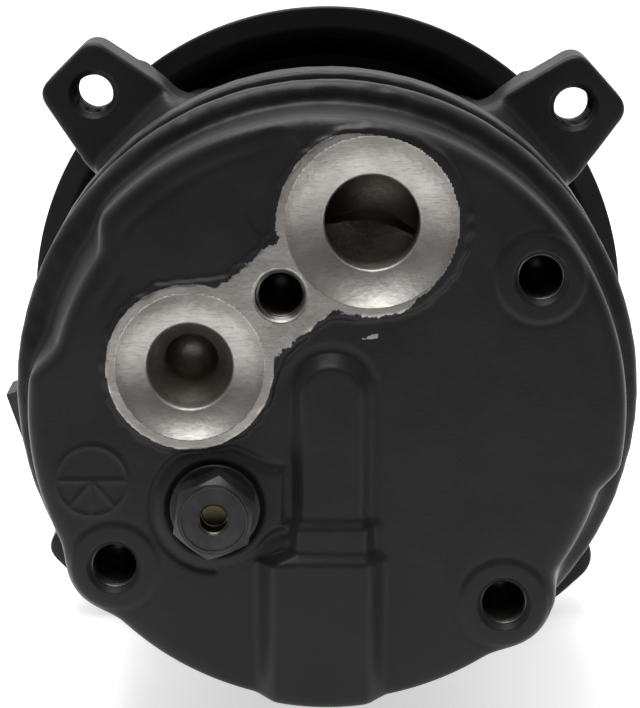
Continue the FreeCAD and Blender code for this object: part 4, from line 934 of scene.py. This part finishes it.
paint_attribute(front_casting, "bare", worn_ears(*points_of(front_casting)))
front_casting.data.materials.clear()
front_casting.data.materials.append(black_paint("painted_front_head"))
front_casting.data.materials.append(shaded_thread_metal)
thread_faces(front_casting, [(hole, y_ear + 1.3) for hole in ear_holes], ear_t - 2.6)
front_casting.data.polygons.foreach_set("use_smooth", [True] * len(front_casting.data.polygons))


# ---- field coil and its plug ---------------------------------------------
# A pressed steel cup round a copper winding potted in resin. It stands still inside the pulley,
# and its leads end in a moulded two-way plug on a strap at the side of the front head.

coil_low, coil_high = (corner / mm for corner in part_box("coil_housing"))
cup_wall, cup_back = 2.5, 3.0
coil_in = 31.5
coil_cup = crisp(turned_piece("coil_cup", soft_profile([
    (nose_r + 0.05, coil_low.y), (coil_high.x, coil_low.y), (coil_high.x, coil_high.y),
    (coil_high.x - cup_wall, coil_high.y), (coil_high.x - cup_wall, coil_low.y + cup_back + 0.5),
    (coil_in + cup_wall, coil_low.y + cup_back + 0.5), (coil_in + cup_wall, coil_high.y),
    (coil_in, coil_high.y), (coil_in, coil_low.y + cup_back), (nose_r + 0.05, coil_low.y + cup_back)],
    0.7), segments=160))
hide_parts("coil_housing")
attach(coil_cup, "housing")
coil_cup.data.materials.append(black_steel("pressed_cup"))


def potting(name):
    """Brown-black casting resin, with copper just showing through."""
    return patterned(name, (90.0, 5.0), (0.4, 0.75), ((0.05, 0.022, 0.012), (0.20, 0.085, 0.040)),
                     (0.2, 0.45), depth=0.3, fall=0.0002)


def moulded_plastic(name):
    """Black glass-filled nylon with a fine moulded grain."""
    return patterned(name, (700.0, 4.0), (0.4, 0.7), ((0.012, 0.012, 0.013), (0.024, 0.024, 0.025)),
                     (0.38, 0.55), Specular_IOR_Level=0.35)


finish(potting("potting_resin"), "coil_winding")
finish(spring_steel, "coil_clip")
finish(moulded_plastic("plug_nylon"), "coil_connector")
finish(turned_metal("tinned_brass", (0.50, 0.46, 0.36), (0.62, 0.58, 0.48), 0.22, 0.35), "connector_pins")


# ---- pulley, its bearing and clip ----------------------------------------
# A turned steel rotor with six belt grooves, pressed on a sealed double-row bearing. Two rings of
# slots in the friction face steer the coil's magnetism through the clutch plate.

rotor_low, rotor_high = (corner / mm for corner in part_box("pulley_rotor"))
pulley_r = rotor_high.x
rib_r, rear_flange_t, mouth_r = pulley_r - 2.2, 2.6, pulley_r - 5.2
bearing_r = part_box("bearing_outer_race")[1].x / mm
rotor_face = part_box("armature_plate")[0].y / mm - 0.5
groove_count, groove_pitch, groove_depth = 6, 3.56, 3.0
rim_t, web_t, friction_t = 5.4, 5.0, 6.0
shell_out, shell_in, hub_out = 57.5, 54.2, 30.8
belt_mouth, belt_root = 0.25, 0.35
slot_width = 2.5
rim_inside = rib_r - rim_t
y_shell = y_nose + 3.8
rim = [(mouth_r, rotor_low.y), (pulley_r, rotor_low.y), (pulley_r, rotor_low.y + rear_flange_t - 0.3),
       (rib_r, rotor_low.y + rear_flange_t)]
for k in range(groove_count):
    middle = groove_pitch * (k + 0.5 - groove_count / 2)
    wide = groove_pitch / 2 - belt_mouth
    rim += [(rib_r, middle - wide), (rib_r - groove_depth, middle - belt_root),
            (rib_r - groove_depth, middle + belt_root), (rib_r, middle + wide)]
y_rim_front = -rotor_low.y
rim += [(rib_r, y_rim_front), (shell_out, y_rim_front), (shell_out, rotor_face),
        (bearing_r + 0.02, rotor_face), (bearing_r + 0.02, y_nose + 4.0), (hub_out, y_nose + 4.0),
        (hub_out, rotor_face - friction_t), (shell_in, rotor_face - friction_t), (shell_in, y_shell),
        (shell_out, y_shell), (shell_out, y_rim_front - web_t), (rim_inside, y_rim_front - web_t),
        (rim_inside, rotor_low.y + mouth_r - rim_inside)]
rotor = crisp(turned_piece("pulley", soft_profile(rim, 0.7), segments=224), 30)


def slot_cutter(r_in, r_out, start, end, y0, y1):
    """Curved slot through a disc, with rounded ends."""
    outline = []
    end_r, middle = (r_out - r_in) / 2, (r_out + r_in) / 2
    for angle in np.radians(np.linspace(start, end, 25)):
        outline.append((r_out * math.cos(angle), r_out * math.sin(angle)))
    for turn in np.linspace(0, math.pi, 8)[1:-1]:
        a = math.radians(end)
        outline.append((middle * math.cos(a) + end_r * math.cos(a + turn),
                        middle * math.sin(a) + end_r * math.sin(a + turn)))
    for angle in np.radians(np.linspace(end, start, 25)):
        outline.append((r_in * math.cos(angle), r_in * math.sin(angle)))
    for turn in np.linspace(0, math.pi, 8)[1:-1]:
        a = math.radians(start)
        outline.append((middle * math.cos(a) - end_r * math.cos(a + turn),
                        middle * math.sin(a) - end_r * math.sin(a + turn)))
    count = len(outline)
    points = [(x, y, z) for y in (y0, y1) for x, z in outline]
    faces = [tuple(range(count)), tuple(range(2 * count - 1, count - 1, -1))]
    faces += [(k + count, (k + 1) % count + count, (k + 1) % count, k) for k in range(count)]
    return mesh_piece("slot_cut", points, faces, smooth=False)


for radius, shift in ((36.0, 0.0), (46.5, 30.0)):
    for k in range(6):
        cut_away(rotor, slot_cutter(radius, radius + slot_width, shift + 60 * k + 8, shift + 60 * k + 52,
                                    rotor_face - friction_t - 1, rotor_face + 1))
crisp(rotor, 30)
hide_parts("pulley_rotor")
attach(rotor, "pulley")
x, y, z = points_of(rotor)
paint_attribute(rotor, "bare",
                np.where((y > rotor_face - 0.3) & (np.hypot(x, z) < shell_out + 0.5), 4.0, -3.0))
rotor.data.materials.clear()
rotor.data.materials.append(black_paint("painted_pulley"))
finish(bearing_steel, "bearing_inner_race", "bearing_outer_race", "bearing_balls")
finish(spring_steel, "bearing_clip")


# ---- clutch plate and hub ------------------------------------------------
# A steel friction plate hung from the hub by three leaf springs, so that the coil can pull it on
# to the pulley. The hub sits on the keyed end of the shaft under a nut.

plate_low, plate_high = (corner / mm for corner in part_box("armature_plate"))
hub_low, hub_high = (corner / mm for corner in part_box("clutch_hub"))
plate_in, plate_rivet_circle_r = 27.0, 44.0
hub_plate_r, hub_plate_t, hub_boss_r, bore_r, lobe_r = 24.0, 2.5, 11.0, 6.52, 6.5
plate = turned_piece("clutch_plate", soft_profile([
    (plate_in, plate_low.y), (plate_high.x, plate_low.y), (plate_high.x, plate_high.y),
    (plate_in, plate_high.y)], 0.7), segments=160)
for k in range(3):
    cut_away(plate, slot_cutter(36.0, 36.0 + slot_width, 102 + 120 * k, 168 + 120 * k,
                                plate_low.y - 1, plate_high.y + 1))
crisp(plate)
hub = turned_piece("hub", soft_profile([
    (bore_r, hub_low.y), (hub_boss_r, hub_low.y), (hub_boss_r, hub_high.y - hub_plate_t),
    (hub_plate_r, hub_high.y - hub_plate_t), (hub_plate_r, hub_high.y), (bore_r, hub_high.y)], 0.6),
    segments=128)
inner_at = [polar(hub_plate_r - 1, 90 + 120 * k) for k in range(3)]
outer_at = [polar(plate_rivet_circle_r, 145 + 120 * k) for k in range(3)]
y_lobe = hub_high.y - hub_plate_t
for at in inner_at:
    combine(hub, turned_piece("lobe", [
        (0, y_lobe + 0.02), (lobe_r - 0.4, y_lobe + 0.02), (lobe_r, y_lobe + 0.4),
        (lobe_r, hub_high.y - 0.42), (lobe_r - 0.4, hub_high.y - 0.02), (0, hub_high.y - 0.02)],
        at, 64, closed=False), "UNION")
crisp(hub)


def rivets(name, places, y_top):
    """Domed rivet heads."""
    heads = []
    for at in places:
        dome = [(0, y_top - 0.1), (3.3, y_top - 0.1), (3.4, y_top + 0.25)]
        dome += [(3.4 * math.cos(t), y_top + 0.25 + 0.95 * math.sin(t)) for t in (0.35, 0.7, 1.05, 1.35)]
        heads.append(turned_piece(name, dome + [(0, y_top + 1.2)], at, 40, closed=False))
    return join_pieces(name, heads)


hub_rivet_heads = rivets("hub_rivet_heads", inner_at, hub_high.y)
plate_rivet_heads = rivets("plate_rivet_heads", outer_at, plate_high.y + 0.8)
nut_low, nut_high = (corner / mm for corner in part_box("shaft_nut"))
nut = hexagon_head("nut", 17.0, nut_low.y, nut_high.y, (0, 0), math.radians(90), 1.6)
cut_away(nut, turned_piece("nut_bore", [(0, nut_low.y - 1), (6.52, nut_low.y - 1), (6.52, nut_low.y + 1.5),
                                        (5.05, nut_low.y + 1.5), (5.05, nut_high.y - 0.7),
                                        (5.9, nut_high.y + 0.2), (5.9, nut_high.y + 1), (0, nut_high.y + 1)],
                           segments=96, closed=False))
crisp(nut)
worn_plate = turned_metal("clutch_steel", (0.20, 0.195, 0.19), (0.34, 0.335, 0.33), 0.28, 0.45, 120.0)
hub_black = black_steel("hub_black")
for piece, node, body, made, slot in ((plate, "armature_plate", "armature", worn_plate, "dark_steel"),
                                      (hub, "clutch_hub", "shaft", hub_black, "black_steel"),
                                      (nut, "shaft_nut", "shaft", plated, "bright_steel")):
    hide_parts(node)
    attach(piece, body)
    piece.data.materials.clear()
    piece.data.materials.append(made)
for piece, body in ((hub_rivet_heads, "shaft"), (plate_rivet_heads, "armature")):
    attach(piece, body)
    piece.data.materials.append(plated)
finish(plated, "hub_rivets", "plate_rivets")
finish(spring_steel, "leaf_springs")
